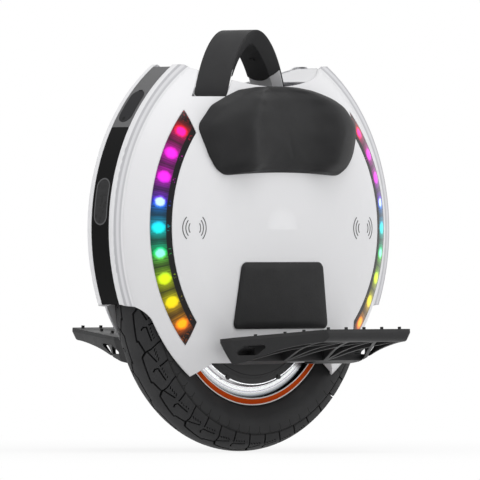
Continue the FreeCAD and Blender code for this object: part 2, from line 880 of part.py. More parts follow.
    window = led_window(fit_clearance).common(layer(fit_clearance, led_window_thickness))
    save("led_windows", both_sides(window) + both_sides(reversed_end(window)))
    board_top = led_window_thickness + fit_clearance + led_height
    back = led_window(fit_clearance).common(layer(board_top, board_top + led_board_thickness))
    lamps = []
    for index in range(led_count):
        turn = math.radians(led_pitch_angle * (index - (led_count - 1) / 2))
        place = side(led_row_radius * math.cos(turn), led_centre_height + led_row_radius * math.sin(turn))
        lamps.append(rod(led_radius, place, FreeCAD.Vector(0, far, 0)))
    lamp_layer = layer(led_window_thickness + fit_clearance, board_top)
    lamp = Part.makeCompound(lamps).common(lamp_layer)
    save("led_boards", both_sides(back) + both_sides(reversed_end(back)))
    save("led_lamps", both_sides(lamp) + both_sides(reversed_end(lamp)))

    tray = tray_prism(tray_wall, far).cut(tray_prism(0, far)).common(cavity)
    tray = tray.fuse(flipped(tray)).removeSplitter()
    tray = tray.common(block((-far, far), (-far, far), (0, panel_top_height)))
    opening_x = yoke_half_length + tray_gap
    opening_y = yoke_half_width + tray_gap
    tray = tray.cut(block((-opening_x, opening_x), (-opening_y, opening_y), (0, far)))
    button_low = yoke_top + button_stand - button_height
    cup_low = button_low - button_travel - button_wall - fit_clearance
    cup_place = FreeCAD.Vector(button_place, 0, cup_low)
    cup_run = FreeCAD.Vector(0, 0, yoke_top - cup_low)
    cup = rod(button_radius + fit_clearance + button_wall, cup_place, cup_run)
    hollow_place = cup_place + FreeCAD.Vector(0, 0, button_wall)
    hollow = rod(button_radius + fit_clearance, hollow_place, FreeCAD.Vector(0, 0, far))
    save("top_plate", [tray.fuse(cup).cut(hollow).removeSplitter()])
    button_run = FreeCAD.Vector(0, 0, button_height)
    save("power_button", [rod(button_radius, side(button_place, button_low), button_run)])

    screws = []
    for x, z in bolt_places():
        shank = rod(screw_shank_radius, side(x, z), FreeCAD.Vector(0, far, 0)).common(body_half(0))
        shank = shank.cut(block((-far, far), (0, well_outer_half_width + fit_clearance), (0, far)))
        screws.extend(both_sides(shank))
    save("shell_screws", screws)


def capsule(length, width, gap, turn):
    # A radial prism with rounded ends, centred at the turn on the body's rim.
    half = width / 2 - gap
    straight = length / 2 - width / 2
    wire = outline(
        plan,
        (-straight, -half),
        [
            [(straight, -half)],
            [(straight + half, 0), (straight, half)],
            [(-straight, half)],
            [(-straight - half, 0), (-straight, -half)],
        ],
    )
    shape = plan_prism(wire, flank_radius, body_rim_radius + lip_half_width)
    shape.rotate(FreeCAD.Vector(0, 0, 0), FreeCAD.Vector(0, 1, 0), 90 - math.degrees(turn))
    shape.translate(FreeCAD.Vector(0, 0, body_centre_height))
    return shape


def make_pads():
    skin = body_half(-pad_clearance)
    wires = []
    for rise, half, stand in upper_pad_rows:
        height = upper_pad_bottom + rise * upper_pad_height
        ridge = body_half_width + stand
        share = ridge / (body_half_width + upper_pad_ridge_stand)
        ridge_place = upper_pad_ridge_share * half
        shoulder = (body_half_width + upper_pad_end_stand) * share
        saddle = (body_half_width + upper_pad_saddle_stand) * share
        root = flank_half_width
        bulge = (half + ridge_place) / 2

        def at(x, y):
            return FreeCAD.Vector(x, y, height)

        legs = [
            [(half, shoulder)],
            [(bulge, (ridge + shoulder) / 2 + pad_clearance), (ridge_place, ridge)],
            [(0, saddle), (-ridge_place, ridge)],
            [(-bulge, (ridge + shoulder) / 2 + pad_clearance), (-half, shoulder)],
            [(-half, root)],
            [(half, root)],
        ]
        wires.append(outline(at, (half, root), legs))
    upper = Part.makeLoft(wires, True, False).cut(skin)
    save("upper_pad_left", [upper])
    save("upper_pad_right", [flipped(upper)])

    corners = [
        (-lower_pad_bottom_half_length, lower_pad_bottom),
        (lower_pad_bottom_half_length, lower_pad_bottom),
        (lower_pad_top_half_length, lower_pad_top),
        (-lower_pad_top_half_length, lower_pad_top),
    ]
    base = rounded(side, corners, lower_pad_corner)
    steps = (
        (flank_half_width, 0),
        (lower_pad_depth - 2 * lower_pad_crown, 0),
        (lower_pad_depth - lower_pad_crown / 2, lower_pad_crown),
        (lower_pad_depth, 3 * lower_pad_crown),
    )
    wires = []
    for depth, inset in steps:
        wire = base.makeOffset2D(-inset) if inset else base.copy()
        wire.translate(FreeCAD.Vector(0, depth, 0))
        wires.append(wire)
    lower = Part.makeLoft(wires, True, True).cut(skin)
    save("lower_pad_left", [lower])
    save("lower_pad_right", [flipped(lower)])


def seated(shape):
    # From the pedal's own frame, hinged at its origin, to its place on the left.
    copy = shape.copy()
    copy.rotate(FreeCAD.Vector(0, 0, 0), FreeCAD.Vector(1, 0, 0), pedal_tilt)
    copy.translate(FreeCAD.Vector(0, pivot_place, pivot_height))
    return copy


def make_pedals():
    low_points = [end(share * pedal_length, height) for share, height in pedal_under]
    belly = Part.BSplineCurve()
    belly.interpolate(low_points)
    nose = low_points[-1]
    nose_middle = end(pedal_length - pedal_nose / 3, nose.z + pedal_nose / 3)
    nose_end = end(pedal_length, nose.z + pedal_nose)
    profile = Part.Wire(
        [
            Part.LineSegment(end(-pedal_heel, pedal_top), low_points[0]).toShape(),
            belly.toShape(),
            Part.Arc(nose, nose_middle, nose_end).toShape(),
            Part.LineSegment(nose_end, end(pedal_length, pedal_top)).toShape(),
            Part.LineSegment(end(pedal_length, pedal_top), end(-pedal_heel, pedal_top)).toShape(),
        ]
    )

    def tread(inset, height):
        half = pedal_half_width - inset
        tip_half = pedal_tip_half_width - inset
        tip = pedal_length - inset / 3
        corners = [
            (-half, -pedal_heel),
            (half, -pedal_heel),
            (half, pedal_shoulder),
            (tip_half, tip),
            (-tip_half, tip),
            (-half, pedal_shoulder),
        ]
        wire = rounded(plan, corners, pedal_corner)
        wire.translate(FreeCAD.Vector(0, 0, height))
        return wire

    rim_low = pedal_top - pedal_edge
    levels = [tread(0, pedal_top), tread(0, rim_low), tread(pedal_side_slope, low_points[0].z - pedal_edge)]
    pedal = end_prism(profile, -far, far).common(Part.makeLoft(levels, True, True))

    under = block((-far, far), (-far, far), (-far, pedal_top - pedal_plate))

    def reach(s):
        share = (s - pedal_shoulder) / (pedal_length - pedal_shoulder)
        return pedal_half_width + share * (pedal_tip_half_width - pedal_half_width) - pocket_margin

    near = reach(pocket_start)
    tip = reach(pocket_end)
    for bay in range(pocket_bays):
        left = 2.0 * bay / pocket_bays - 1
        right = 2.0 * (bay + 1) / pocket_bays - 1
        ends = [
            (near * left, pocket_start),
            (near * right, pocket_start),
            (tip * right, pocket_end),
            (tip * left, pocket_end),
        ]
        cross = tip / (near + tip)
        middle_s = pocket_start + (pocket_end - pocket_start) * (1 - cross)
        middle = (near + tip) * (left + right) / 4
        for index in range(len(ends)):
            triangle = polygon(plan, [ends[index], ends[(index + 1) % len(ends)], (middle, middle_s)])
            hole = triangle.makeOffset2D(-pedal_rib / 2)
            pedal = pedal.cut(plan_prism(hole, -far, far).common(under))
    window = polygon(end, window_corners).makeOffset2D(-pedal_rib / 2).makeOffset2D(pedal_rib / 2)
    inner = pedal_half_width - window_depth
    pedal = pedal.cut(end_prism(window, inner, far)).cut(end_prism(window, -far, -inner))
    for share in slot_shares:
        row = share * pedal_length
        span = reach(row) * slot_reach
        slot_y = (row - slot_width / 2, row + slot_width / 2)
        pedal = pedal.cut(block((-span, span), slot_y, (pedal_top - pedal_plate, far)))
    gap_half = knuckle_half_width + knuckle_gap
    gap_end = knuckle_radius + 2 * knuckle_gap
    pedal = pedal.cut(block((-gap_half, gap_half), (-far, gap_end), (-far, far)))
    reach_x = gap_half + ear_width
    pin_line = FreeCAD.Vector(2 * reach_x, 0, 0)
    pedal = pedal.cut(rod(pin_radius + pin_gap, FreeCAD.Vector(-reach_x, 0, 0), pin_line))
    pedal = seated(pedal.removeSplitter())
    save("pedal_left", [pedal])
    save("pedal_right", [flipped(pedal)])

    studs = []
    for (row_share, half_share), count in zip(stud_shares, stud_counts):
        row = row_share * pedal_length
        half = half_share * (reach(row) + pocket_margin)
        for index in range(count):
            x = half * (2.0 * index / (count - 1) - 1)
            stud = rod(stud_radius, FreeCAD.Vector(x, row, pedal_top), FreeCAD.Vector(0, 0, stud_height))
            studs.append(seated(stud))
    save("pedal_studs_left", studs)
    save("pedal_studs_right", [flipped(stud) for stud in studs])

    pivot = end(pivot_place, pivot_height)
    pin_half = FreeCAD.Vector(reach_x - pin_gap, 0, 0)
    pin = rod(pin_radius, pivot - pin_half, pin_half * 2)
    save("pedal_pins", both_sides(pin))

    foot_low = pivot_height - knuckle_radius
    foot_high = foot_low + hanger_foot
    arm = polygon(
        end,
        [
            (hanger_inner_face, tyre_radius + hanger_rise),
            (hanger_inner_face, foot_low),
            (pivot_place, foot_low),
            (pivot_place, foot_high - knuckle_radius / 2),
            (hanger_outer_face + knuckle_radius, foot_high),
            (hanger_outer_face, foot_high + knuckle_radius),
            (hanger_outer_face, tyre_radius + hanger_rise),
        ],
    )
    hanger = end_prism(arm, -hanger_half_width, hanger_half_width)
    knuckle_half = FreeCAD.Vector(knuckle_half_width, 0, 0)
    hanger = hanger.fuse(rod(knuckle_radius, pivot - knuckle_half, knuckle_half * 2))
    hanger = hanger.cut(rod(pin_radius, pivot - FreeCAD.Vector(reach_x, 0, 0), pin_line))
    hanger = hanger.cut(disc(axle_radius, 0, far, tyre_radius))
    bolts = []
    for x in (-hanger_bolt_spread, hanger_bolt_spread):
        place = FreeCAD.Vector(x, well_half_width + screw_head_height / 2, tyre_radius - hanger_bolt_drop)
        run = FreeCAD.Vector(0, hanger_outer_face - place.y, 0)
        hanger = hanger.cut(rod(hanger_bolt_radius, place, run * 2))
        shank = rod(hanger_bolt_radius, place, run)
        head = rod(hanger_bolt_head_radius, place + run, FreeCAD.Vector(0, screw_head_height, 0))
        bolts.extend(both_sides(shank.fuse(head)))
    hanger = hanger.removeSplitter()
    save("pedal_hanger_left", [hanger])
    save("pedal_hanger_right", [flipped(hanger)])
    save("hanger_bolts", bolts)

    across = nut_width / math.sqrt(3)
    turns = [math.radians(60 * index) for index in range(6)]
    corners = [(across * math.cos(turn), tyre_radius + across * math.sin(turn)) for turn in turns]
    nut = side_prism(polygon(side, corners), hanger_outer_face, hanger_outer_face + nut_height)
    save("axle_nuts", both_sides(nut.cut(disc(axle_radius, 0, far, tyre_radius))))


def handle_stations():
    # Along the arch from its rear foot to its front foot: a point outside, the way in and the depth there.
    height = handle_apex - yoke_top
    front = [side(place, handle_apex - share * height) for place, share in handle_path]
    points = [side(-point.x, point.z) for point in front[:0:-1]] + front
    depths = [handle_depth + (handle_foot_depth - handle_depth) * share for place, share in handle_path]
    depths = depths[:0:-1] + depths
    curve = Part.BSplineCurve()
    curve.interpolate(points)
    across = FreeCAD.Vector(0, 1, 0)
    stations = []
    for point, depth in zip(points, depths):
        along = curve.tangent(curve.parameter(point))[0]
        stations.append((point, across.cross(along), depth))
    return stations


def handle_arch(inset, spread, deepen):
    # Flat outside, with leaning sides and a narrower face towards the hand.
    wires = []
    for point, inward, depth in handle_stations():
        half = handle_half_width + spread
        hand_half = half - handle_slant
        corners = [
            (-half, inset),
            (half, inset),
            (half, inset + handle_edge),
            (hand_half, depth + deepen),
            (-hand_half, depth + deepen),
            (-half, inset + handle_edge),
        ]
        section = [point + inward * way + FreeCAD.Vector(0, y, 0) for y, way in corners]
        wires.append(Part.makePolygon(section + section[:1]))
    return Part.makeLoft(wires, True, False)


def make_handle():
    grip_end = outline(
        end,
        (-far, yoke_top),
        [
            [(far, yoke_top)],
            [(far, grip_end_height + grip_end_rise)],
            [(handle_half_width, grip_end_height + grip_end_rise)],
            [(0, grip_end_height), (-handle_half_width, grip_end_height + grip_end_rise)],
            [(-far, grip_end_height + grip_end_rise)],
            [(-far, yoke_top)],
        ],
    )
    below = end_prism(grip_end, -far, far)
    bare = handle_arch(core_inset, handle_slant, handle_slant).common(below)
    grip = handle_arch(0, 0, 0).cut(bare).common(block((-far, far), (-far, far), (yoke_top, far)))
    posts = handle_arch(core_inset, -core_inset / 2, -core_inset).common(below).cut(grip).Solids

    outside, inward, depth = handle_stations()[release_station]
    place = outside + inward * depth
    tilt = FreeCAD.Rotation(FreeCAD.Vector(0, 0, 1), inward)

    def stadium(gap, low, high):
        half = release_width / 2 - gap
        straight = (release_length - release_width) / 2
        wire = outline(
            plan,
            (-half, -straight),
            [
                [(0, -straight - half), (half, -straight)],
                [(half, straight)],
                [(0, straight + half), (-half, straight)],
                [(-half, -straight)],
            ],
        )
        shape = plan_prism(wire, low, high)
        shape.rotate(FreeCAD.Vector(0, 0, 0), tilt.Axis, math.degrees(tilt.Angle))
        shape.translate(place)
        return shape

    grip = grip.cut(stadium(0, -release_depth, release_depth))
    save("handle_grip", [grip.removeSplitter()])
    bottom = release_travel + fit_clearance - release_depth
    save("release_button", [stadium(fit_clearance / 2, bottom, release_proud)])

    save("handle_core", posts)
    yoke_x = (-yoke_half_length, yoke_half_length)
    yoke_y = (-yoke_half_width, yoke_half_width)
    save("handle_yoke", [block(yoke_x, yoke_y, (yoke_bottom, yoke_top))])
    masts = []
    sleeves = []
    for turn in (1, -1):
        x = mast_place * turn
        y = mast_depth * turn
        inner = sleeve_thickness / 2 - sleeve_wall
        wide = sleeve_width / 2 - sleeve_wall
        bar_x = (x - mast_width / 2, x + mast_width / 2)
        bar_y = (y - mast_thickness / 2, y + mast_thickness / 2)
        masts.append(block(bar_x, bar_y, (mast_bottom, yoke_bottom)))
        sleeve_top = yoke_bottom - sleeve_top_gap
        sleeve_low = mast_bottom - sleeve_top_gap - sleeve_wall
        sleeve_x = (x - sleeve_width / 2, x + sleeve_width / 2)
        sleeve_y = (y - sleeve_thickness / 2, y + sleeve_thickness / 2)
        tube = block(sleeve_x, sleeve_y, (sleeve_low, sleeve_top))
        bore = block((x - wide, x + wide), (y - inner, y + inner), (sleeve_low + sleeve_wall, far))
        sleeves.append(tube.cut(bore))
    save("handle_masts", masts)
    save("mast_sleeves", sleeves)


def on_crown(shape, turn):
    # From a frame that stands on the wheel well's crown to its angle from the front.
    copy = shape.copy()
    copy.translate(FreeCAD.Vector(0, 0, tyre_radius + well_outer_radius + fit_clearance))
    return turned_about_axle(copy, 90 - turn)


def make_inside():
    cavity = body_half(cavity_offset)
    pack = block((battery_gap / 2, battery_end), (battery_inner_face, far), (battery_bottom, battery_top))
    feet = []
    for high in (battery_bottom + battery_foot, battery_top):
        for front in (mast_place - sleeve_width, battery_end):
            foot_x = (front - battery_foot, front)
            foot_y = (well_outer_half_width + fit_clearance, battery_inner_face)
            feet.append(block(foot_x, foot_y, (high - battery_foot, high)))
    pack = pack.multiFuse(feet).removeSplitter().common(cavity)
    save("battery_packs", both_sides(pack) + both_sides(reversed_end(pack)))

    cone = []
    for x in (-speaker_place, speaker_place):
        can = rod(speaker_radius, side(x, led_centre_height), FreeCAD.Vector(0, far, 0)).common(cavity)
        cone.append(can.cut(body_half(cavity_offset + speaker_depth)))
    save("speakers", [part for can in cone for part in both_sides(can)])

    half_length = board_length / 2
    half_width = board_width / 2
    case_y = (-half_width, half_width)
    case = block((-half_length, half_length), case_y, (0, board_case_height))
    ribs = []
    rib_step = board_length / fin_count
    rib_z = (board_case_height, board_case_height + board_rib)
    for index in range(fin_count):
        start = rib_step * index - half_length + board_rib / 2
        ribs.append(block((start, start + board_rib), case_y, rib_z))
    save("control_board", [on_crown(case.multiFuse(ribs).removeSplitter(), electronics_angle)])

    half_length = sink_length / 2
    half_width = sink_width / 2
    sink_x = (-half_length, half_length)
    sink = block(sink_x, (-half_width, half_width), (0, sink_base))
    fins = []
    fin_step = (sink_width - fin_thickness) / (fin_count - 1)
    fin_z = (sink_base, sink_base + fin_height)
    for index in range(fin_count):
        start = index * fin_step - half_width
        fins.append(block(sink_x, (start, start + fin_thickness), fin_z))
    save("heat_sink", [on_crown(sink.multiFuse(fins).removeSplitter(), 180 - electronics_angle)])

    fan_low = sink_base + fin_height
    half = fan_size / 2
    frame = block((-half, half), (-half, half), (fan_low, fan_low + fan_depth))
    up = FreeCAD.Vector(0, 0, 1)
    bore_start = FreeCAD.Vector(0, 0, fan_low)
    frame = frame.cut(rod(half - fan_wall, bore_start, up * fan_depth))
    strut = block((-half, half), (-fan_wall, fan_wall), (fan_low, fan_low + fan_wall))
    frame = frame.fuse(strut).fuse(rod(fan_hub_radius, bore_start, up * fan_wall))
    frame = frame.fuse(rod(fan_shaft_radius, bore_start, up * (fan_depth - fan_wall))).removeSplitter()
    save("fan_frame", [on_crown(frame, 180 - electronics_angle)])
    rotor_low = fan_low + fan_wall + fit_clearance
    rotor_run = fan_depth - fan_wall - 2 * fit_clearance
    hub = rod(fan_hub_radius, FreeCAD.Vector(0, 0, rotor_low), up * rotor_run)
    blade_tip = half - fan_wall - 2 * fit_clearance
    blade = block((fan_hub_radius / 2, blade_tip), (-blade_thickness / 2, blade_thickness / 2), (-far, far))
    blade.rotate(FreeCAD.Vector(0, 0, 0), FreeCAD.Vector(1, 0, 0), blade_pitch)
    blade = blade.common(rod(blade_tip, FreeCAD.Vector(0, 0, -rotor_run / 2), up * rotor_run))
    blade.translate(FreeCAD.Vector(0, 0, rotor_low + rotor_run / 2))
    blades = []
    for index in range(blade_count):
        copy = blade.copy()
        copy.rotate(FreeCAD.Vector(0, 0, 0), up, 360.0 * index / blade_count)
        blades.append(copy)
    shaft_run = up * (fan_depth - fan_wall + fit_clearance)
    shaft_space = rod(fan_shaft_radius + fit_clearance, bore_start, shaft_run)
    rotor = hub.multiFuse(blades).cut(shaft_space)
    save("fan_rotor", [on_crown(rotor.removeSplitter(), 180 - electronics_angle)])

    points = []
    for along, y, up_share in lead_route:
        height = tyre_radius + up_share * well_outer_radius
        depth = y - well_outer_half_width - lead_stand
        points.append(FreeCAD.Vector(along * well_outer_radius, depth, height))
    save("motor_lead", [cord(points, lead_radius)])


def cord(points, radius):
    # A round cord along straight runs joined by the largest tangent arcs.
    edges = []
    last = points[0]
    length = 0.0
    for before, here, after in zip(points, points[1:], points[2:]):
        back = before - here
        ahead = after - here
        turn = math.pi - back.getAngle(ahead)
        cut = lead_bend_share * min(back.Length, ahead.Length)
        bend = cut / math.tan(turn / 2)
        print("bend radius", round(bend, 1))
        back.normalize()
        ahead.normalize()
        start = here + back * cut
        finish = here + ahead * cut
        middle = here + (back + ahead).normalize() * (bend / math.cos(turn / 2) - bend)
        edges.append(Part.LineSegment(last, start).toShape())
        edges.append(Part.Arc(start, middle, finish).toShape())
        last = finish
    edges.append(Part.LineSegment(last, points[-1]).toShape())
    path = Part.Wire(edges)
    section = Part.Wire(Part.Circle(points[0], points[1] - points[0], radius).toShape())
    tube = path.makePipeShell([section], True, False)
    print("cord volume share", round(tube.Volume / (path.Length * math.pi * radius ** 2), 4))
    return tube


make_wheel()
make_body()
make_pads()
make_pedals()
make_handle()
make_inside()
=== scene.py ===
import bmesh
import bpy
import math
from mathutils import Matrix, Vector


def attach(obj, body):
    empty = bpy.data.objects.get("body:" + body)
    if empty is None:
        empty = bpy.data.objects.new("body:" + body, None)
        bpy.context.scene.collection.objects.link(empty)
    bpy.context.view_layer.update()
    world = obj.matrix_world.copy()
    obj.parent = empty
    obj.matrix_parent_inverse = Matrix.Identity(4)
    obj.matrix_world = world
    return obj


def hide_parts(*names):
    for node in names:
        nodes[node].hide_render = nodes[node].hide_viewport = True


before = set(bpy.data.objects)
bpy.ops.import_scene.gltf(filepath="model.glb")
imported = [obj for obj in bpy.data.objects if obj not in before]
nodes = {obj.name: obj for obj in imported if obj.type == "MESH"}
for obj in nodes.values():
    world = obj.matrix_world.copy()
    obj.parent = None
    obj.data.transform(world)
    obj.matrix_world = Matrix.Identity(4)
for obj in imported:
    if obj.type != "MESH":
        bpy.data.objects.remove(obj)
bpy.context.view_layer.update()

scene = bpy.context.scene
scene.view_settings.view_transform = "Standard"
mm = 0.001
axle = Vector((0, 0, 0.223))
noiseLow, noiseHigh = 0.3, 0.7  # most of a noise lies between these
print("frame loaded:", len(nodes), "nodes")


def srgb(text):  # sRGB hex to linear
    parts = [int(text[i:i + 2], 16) / 255 for i in (1, 3, 5)]
    return [c / 12.92 if c <= 0.04045 else ((c + 0.055) / 1.055) ** 2.4 for c in parts] + [1]


def addNode(tree, kind, settings=None, inputs=None, stops=()):
    node = tree.nodes.new("ShaderNode" + kind)
    for name, value in (settings or {}).items():
        setattr(node, name, value)
    for name, value in (inputs or {}).items():
        if isinstance(value, bpy.types.Node):  # a node stands for its first output
            value = value.outputs[0]
        if isinstance(value, bpy.types.NodeSocket):
            tree.links.new(value, node.inputs[name])
        else:
            node.inputs[name].default_value = value
    for index, (position, colour) in enumerate(stops):  # colours of a ramp, which starts with two
        elements = node.color_ramp.elements
        element = elements[index] if index < 2 else elements.new(position)
        element.position = position
        element.color = srgb(colour)
    return node


def newMaterial(name, **sockets):
    material = bpy.data.materials.new(name)
    material.use_nodes = True
    tree = material.node_tree
    tree.nodes.clear()
    inputs = {socket.replace("_", " "): value for socket, value in sockets.items()}
    shader = addNode(tree, "BsdfPrincipled", None, inputs)
    addNode(tree, "OutputMaterial", None, {"Surface": shader})
    place = addNode(tree, "TexCoord").outputs["Object"]
    return material, tree, shader, place


def grained(name, colour, roughness, grainMm, depth, spread=0.06, shade=0.08, metallic=0.0, edgeMm=0.0,
            cloudMm=35.0, **sockets):
    # a moulded, cast or coated face: fine grain in the bump, slow cloudy changes in gloss and tone
    material, tree, shader, place = newMaterial(name, Metallic=metallic, **sockets)
    grain = addNode(tree, "TexNoise", None, {"Vector": place, "Scale": 1 / (grainMm * mm), "Detail": 3.0})
    cloud = addNode(tree, "TexNoise", None, {"Vector": place, "Scale": 1 / (cloudMm * mm), "Detail": 2.0})
    gloss = addNode(tree, "MapRange", None, {
        "Value": cloud.outputs["Fac"], "From Min": noiseLow, "From Max": noiseHigh,
        "To Min": roughness - spread, "To Max": roughness + spread})
    tree.links.new(gloss.outputs[0], shader.inputs["Roughness"])
    tone = addNode(tree, "Mix", {"data_type": "RGBA", "blend_type": "MULTIPLY"}, {
        "Factor": shade, 6: srgb(colour), 7: grain.outputs["Color"]})
    tree.links.new(tone.outputs[2], shader.inputs["Base Color"])
    bump = addNode(tree, "Bump", None, {
        "Height": grain.outputs["Fac"], "Strength": depth, "Distance": grainMm * mm * 0.5})
    if edgeMm:  # a soft moulded edge where the solid is sharp
        edge = addNode(tree, "Bevel", {"samples": 4}, {"Radius": edgeMm * mm})
        tree.links.new(edge.outputs[0], bump.inputs["Normal"])
    tree.links.new(bump.outputs[0], shader.inputs["Normal"])
    return material


def polar(tree, place, height, bothEnds=True):
    # distance from the y axis through that height, and the angle above the horizontal,
    # counted alike on both ends or once right round
    split = addNode(tree, "SeparateXYZ", None, {0: place})
    rise = addNode(tree, "Math", {"operation": "SUBTRACT"}, {0: split.outputs["Z"], 1: height})
    ahead = split.outputs["X"]
    if bothEnds:
        ahead = addNode(tree, "Math", {"operation": "ABSOLUTE"}, {0: ahead})
    flat = addNode(tree, "CombineXYZ", None, {"X": split.outputs["X"], "Z": rise})
    reach = addNode(tree, "VectorMath", {"operation": "LENGTH"}, {0: flat})
    turn = addNode(tree, "Math", {"operation": "ARCTAN2"}, {0: rise, 1: ahead})
    return reach.outputs["Value"], turn


def pieceFrom(bm, name, material):  # a finished mesh as an object at the origin
    mesh = bpy.data.meshes.new(name)
    bm.to_mesh(mesh)
    bm.free()
    mesh.materials.append(material)
    piece = bpy.data.objects.new(name, mesh)
    scene.collection.objects.link(piece)
    return piece


# White ABS, injection moulded and left satin: soft broad highlights over a clean cool white
shellWhite = grained("abs_moulded_satin_white", "#E7E7E9", 0.36, 2.5, 0.03, 0.04, 0.02, edgeMm=2.2,
                     IOR=1.5, Specular_IOR_Level=0.4)
# painted shade: two grey bands, 2 to 3 mm wide, are painted along the lip by distance from the rim's centre,
# standing for two shallow grooves
lipShadeSizes = {"centre": 0.307, "inner": 0.2580, "outer": 0.2710}
tree = shellWhite.node_tree
shader = tree.nodes["Principled BSDF"]
reach = polar(tree, addNode(tree, "TexCoord").outputs["Object"], lipShadeSizes["centre"])[0]
across = addNode(tree, "MapRange", None, {
    "Value": reach, "From Min": lipShadeSizes["inner"], "From Max": lipShadeSizes["outer"]})
# painted shade: the grey stops darken the white lip in two bands
shade = addNode(tree, "ValToRGB", None, {"Fac": across}, [
    (0.05, "#FFFFFF"), (0.14, "#D2D2D4"), (0.3, "#DADADC"), (0.42, "#F2F2F3"), (0.64, "#F2F2F3"),
    (0.72, "#D0D0D2"), (0.9, "#CDCDCF"), (0.96, "#FFFFFF")])
tone = addNode(tree, "Mix", {"data_type": "RGBA", "blend_type": "MULTIPLY"}, {
    "Factor": 1.0, 6: shader.inputs["Base Color"].links[0].from_socket, 7: shade.outputs["Color"]})
tree.links.new(tone.outputs[2], shader.inputs["Base Color"])
# Black ABS moulded against a polished tool: deep black with a faint haze
spineBlack = grained("abs_moulded_gloss_black", "#060607", 0.24, 6.0, 0.01, 0.04, 0.3,
                     IOR=1.54, Specular_IOR_Level=0.08)
# Grey ABS with a fine spark texture: 0.6 mm pits drawn at 1.2 mm so that they show
panelGrey = grained("abs_spark_textured_grey", "#636364", 0.5, 1.2, 0.12, 0.05, 0.12, Specular_IOR_Level=0.3)
# Black ABS, plain moulding inside the body
frameBlack = grained("abs_moulded_black", "#1C1C1D", 0.5, 1.5, 0.1, Specular_IOR_Level=0.25)
# White polypropylene of the wheel's liner: waxy and dull
linerWhite = grained("polypropylene_moulded_white", "#D2D2D4", 0.55, 2.0, 0.08, Specular_IOR_Level=0.3)
# Powder coat over cast aluminium: black, dry, with the orange peel of baked powder (1.6 mm)
pedalCoat = grained("aluminium_powder_coated_black", "#2B2B2C", 0.5, 1.6, 0.14, 0.06, 0.2, edgeMm=1.6,
                    Specular_IOR_Level=0.22)
# Black oxide on steel studs and screws: dark and slightly oily
studOxide = grained("steel_black_oxide", "#222223", 0.45, 1.0, 0.1, Specular_IOR_Level=0.3)
# Zinc plated steel: bright with a soft crystal
zincSteel = grained("steel_zinc_plated", "#A9ABAE", 0.32, 1.2, 0.05, metallic=1.0)
# Black anodising on the pedal hangers: a dark satin skin
hangerAlloy = grained("aluminium_anodised_black", "#2A2A2C", 0.42, 0.8, 0.05, Specular_IOR_Level=0.4)
# Stacked electrical sheet: dull steel
sheetSteel = grained("steel_stacked_sheet", "#7A7B7D", 0.4, 0.8, 0.1, metallic=1.0)
# Nickel plating on the magnets: warm and bright
magnetNickel = grained("magnet_nickel_plated", "#B4B2AC", 0.28, 1.0, 0.03, metallic=1.0)
# Enamelled copper: each turn of wire catches the light
coilCopper = grained("copper_enamelled_wire", "#B06A32", 0.35, 1.2, 0.4, metallic=1.0)
# Solder mask on glass epoxy: green and slightly wet
boardGreen = grained("epoxy_board_solder_mask", "#1B4A2C", 0.4, 1.5, 0.08)
# Shrink wrap on the battery packs: tight, with slow ripples
batteryWrap = grained("pvc_shrink_wrap_blue", "#1D3A78", 0.3, 8.0, 0.1)
# Extruded aluminium: fine satin
sinkAlloy = grained("aluminium_extruded", "#B9BABD", 0.36, 0.8, 0.05, metallic=1.0)
# Glass-filled PBT of fan and speakers: black and dull
fanPlastic = grained("pbt_moulded_black", "#1A1A1B", 0.45, 1.0, 0.06, Specular_IOR_Level=0.3)
# Silicone of the charge cover: matt, a shade darker than the panel round it, with a thumb notch at its foot
notchSizes = {"place": (0.2242, -0.0008, 0.4588), "reach": 3.4, "inner": 0.8, "grain": 0.9, "depth": 6.0}
coverRubber, tree, shader, place = newMaterial("silicone_rubber_moulded", Roughness=0.6,
                                               Specular_IOR_Level=0.2)
grain = addNode(tree, "TexNoise", None, {
    "Vector": place, "Scale": 1 / (notchSizes["grain"] * mm), "Detail": 3.0})
away = addNode(tree, "VectorMath", {"operation": "DISTANCE"}, {0: place, 1: notchSizes["place"]})
notchShadeAndDepth = addNode(tree, "MapRange", {"interpolation_type": "SMOOTHSTEP"}, {
    "Value": away.outputs["Value"], "From Min": notchSizes["reach"] * notchSizes["inner"] * mm,
    "From Max": notchSizes["reach"] * mm})
# painted shade: the thumb notch is painted near black (#060606) for the shade in its hollow, and the bump
# presses it in
tone = addNode(tree, "Mix", {"data_type": "RGBA"}, {
    "Factor": notchShadeAndDepth, 6: srgb("#060606"), 7: srgb("#212123")})
tree.links.new(tone.outputs[2], shader.inputs["Base Color"])
height = addNode(tree, "Math", {"operation": "MULTIPLY_ADD"}, {
    0: notchShadeAndDepth, 1: notchSizes["depth"], 2: grain.outputs["Fac"]})
bump = addNode(tree, "Bump", None, {"Height": height, "Strength": 0.2, "Distance": 0.4 * mm})
tree.links.new(bump.outputs[0], shader.inputs["Normal"])
# Silicone sleeve on the motor lead: matt black
leadSleeve = grained("silicone_cable_sleeve", "#161617", 0.5, 1.0, 0.1)
# Butyl of the inner tube: dull black
tubeRubber = grained("butyl_rubber_moulded", "#202021", 0.6, 1.2, 0.1)
# Soft-touch skin on the grip: velvety, almost no highlight
gripSoft = grained("tpe_soft_touch_moulded", "#333334", 0.56, 0.9, 0.1, 0.05, 0.15, edgeMm=1.5,
                   Specular_IOR_Level=0.2)
# Grey anodising on the posts inside the grip: even satin grey
coreGrey = grained("aluminium_anodised_grey", "#CFCFD1", 0.4, 1.0, 0.04, Specular_IOR_Level=0.5)
# Silver anodising on the masts
mastAlloy = grained("aluminium_anodised_silver", "#BDBEC1", 0.3, 0.8, 0.03, metallic=1.0)
# Ink of the printed marks: flat grey
markInk = grained("screen_ink_grey", "#4C4C4E", 0.55, 0.8, 0.05, Specular_IOR_Level=0.2)
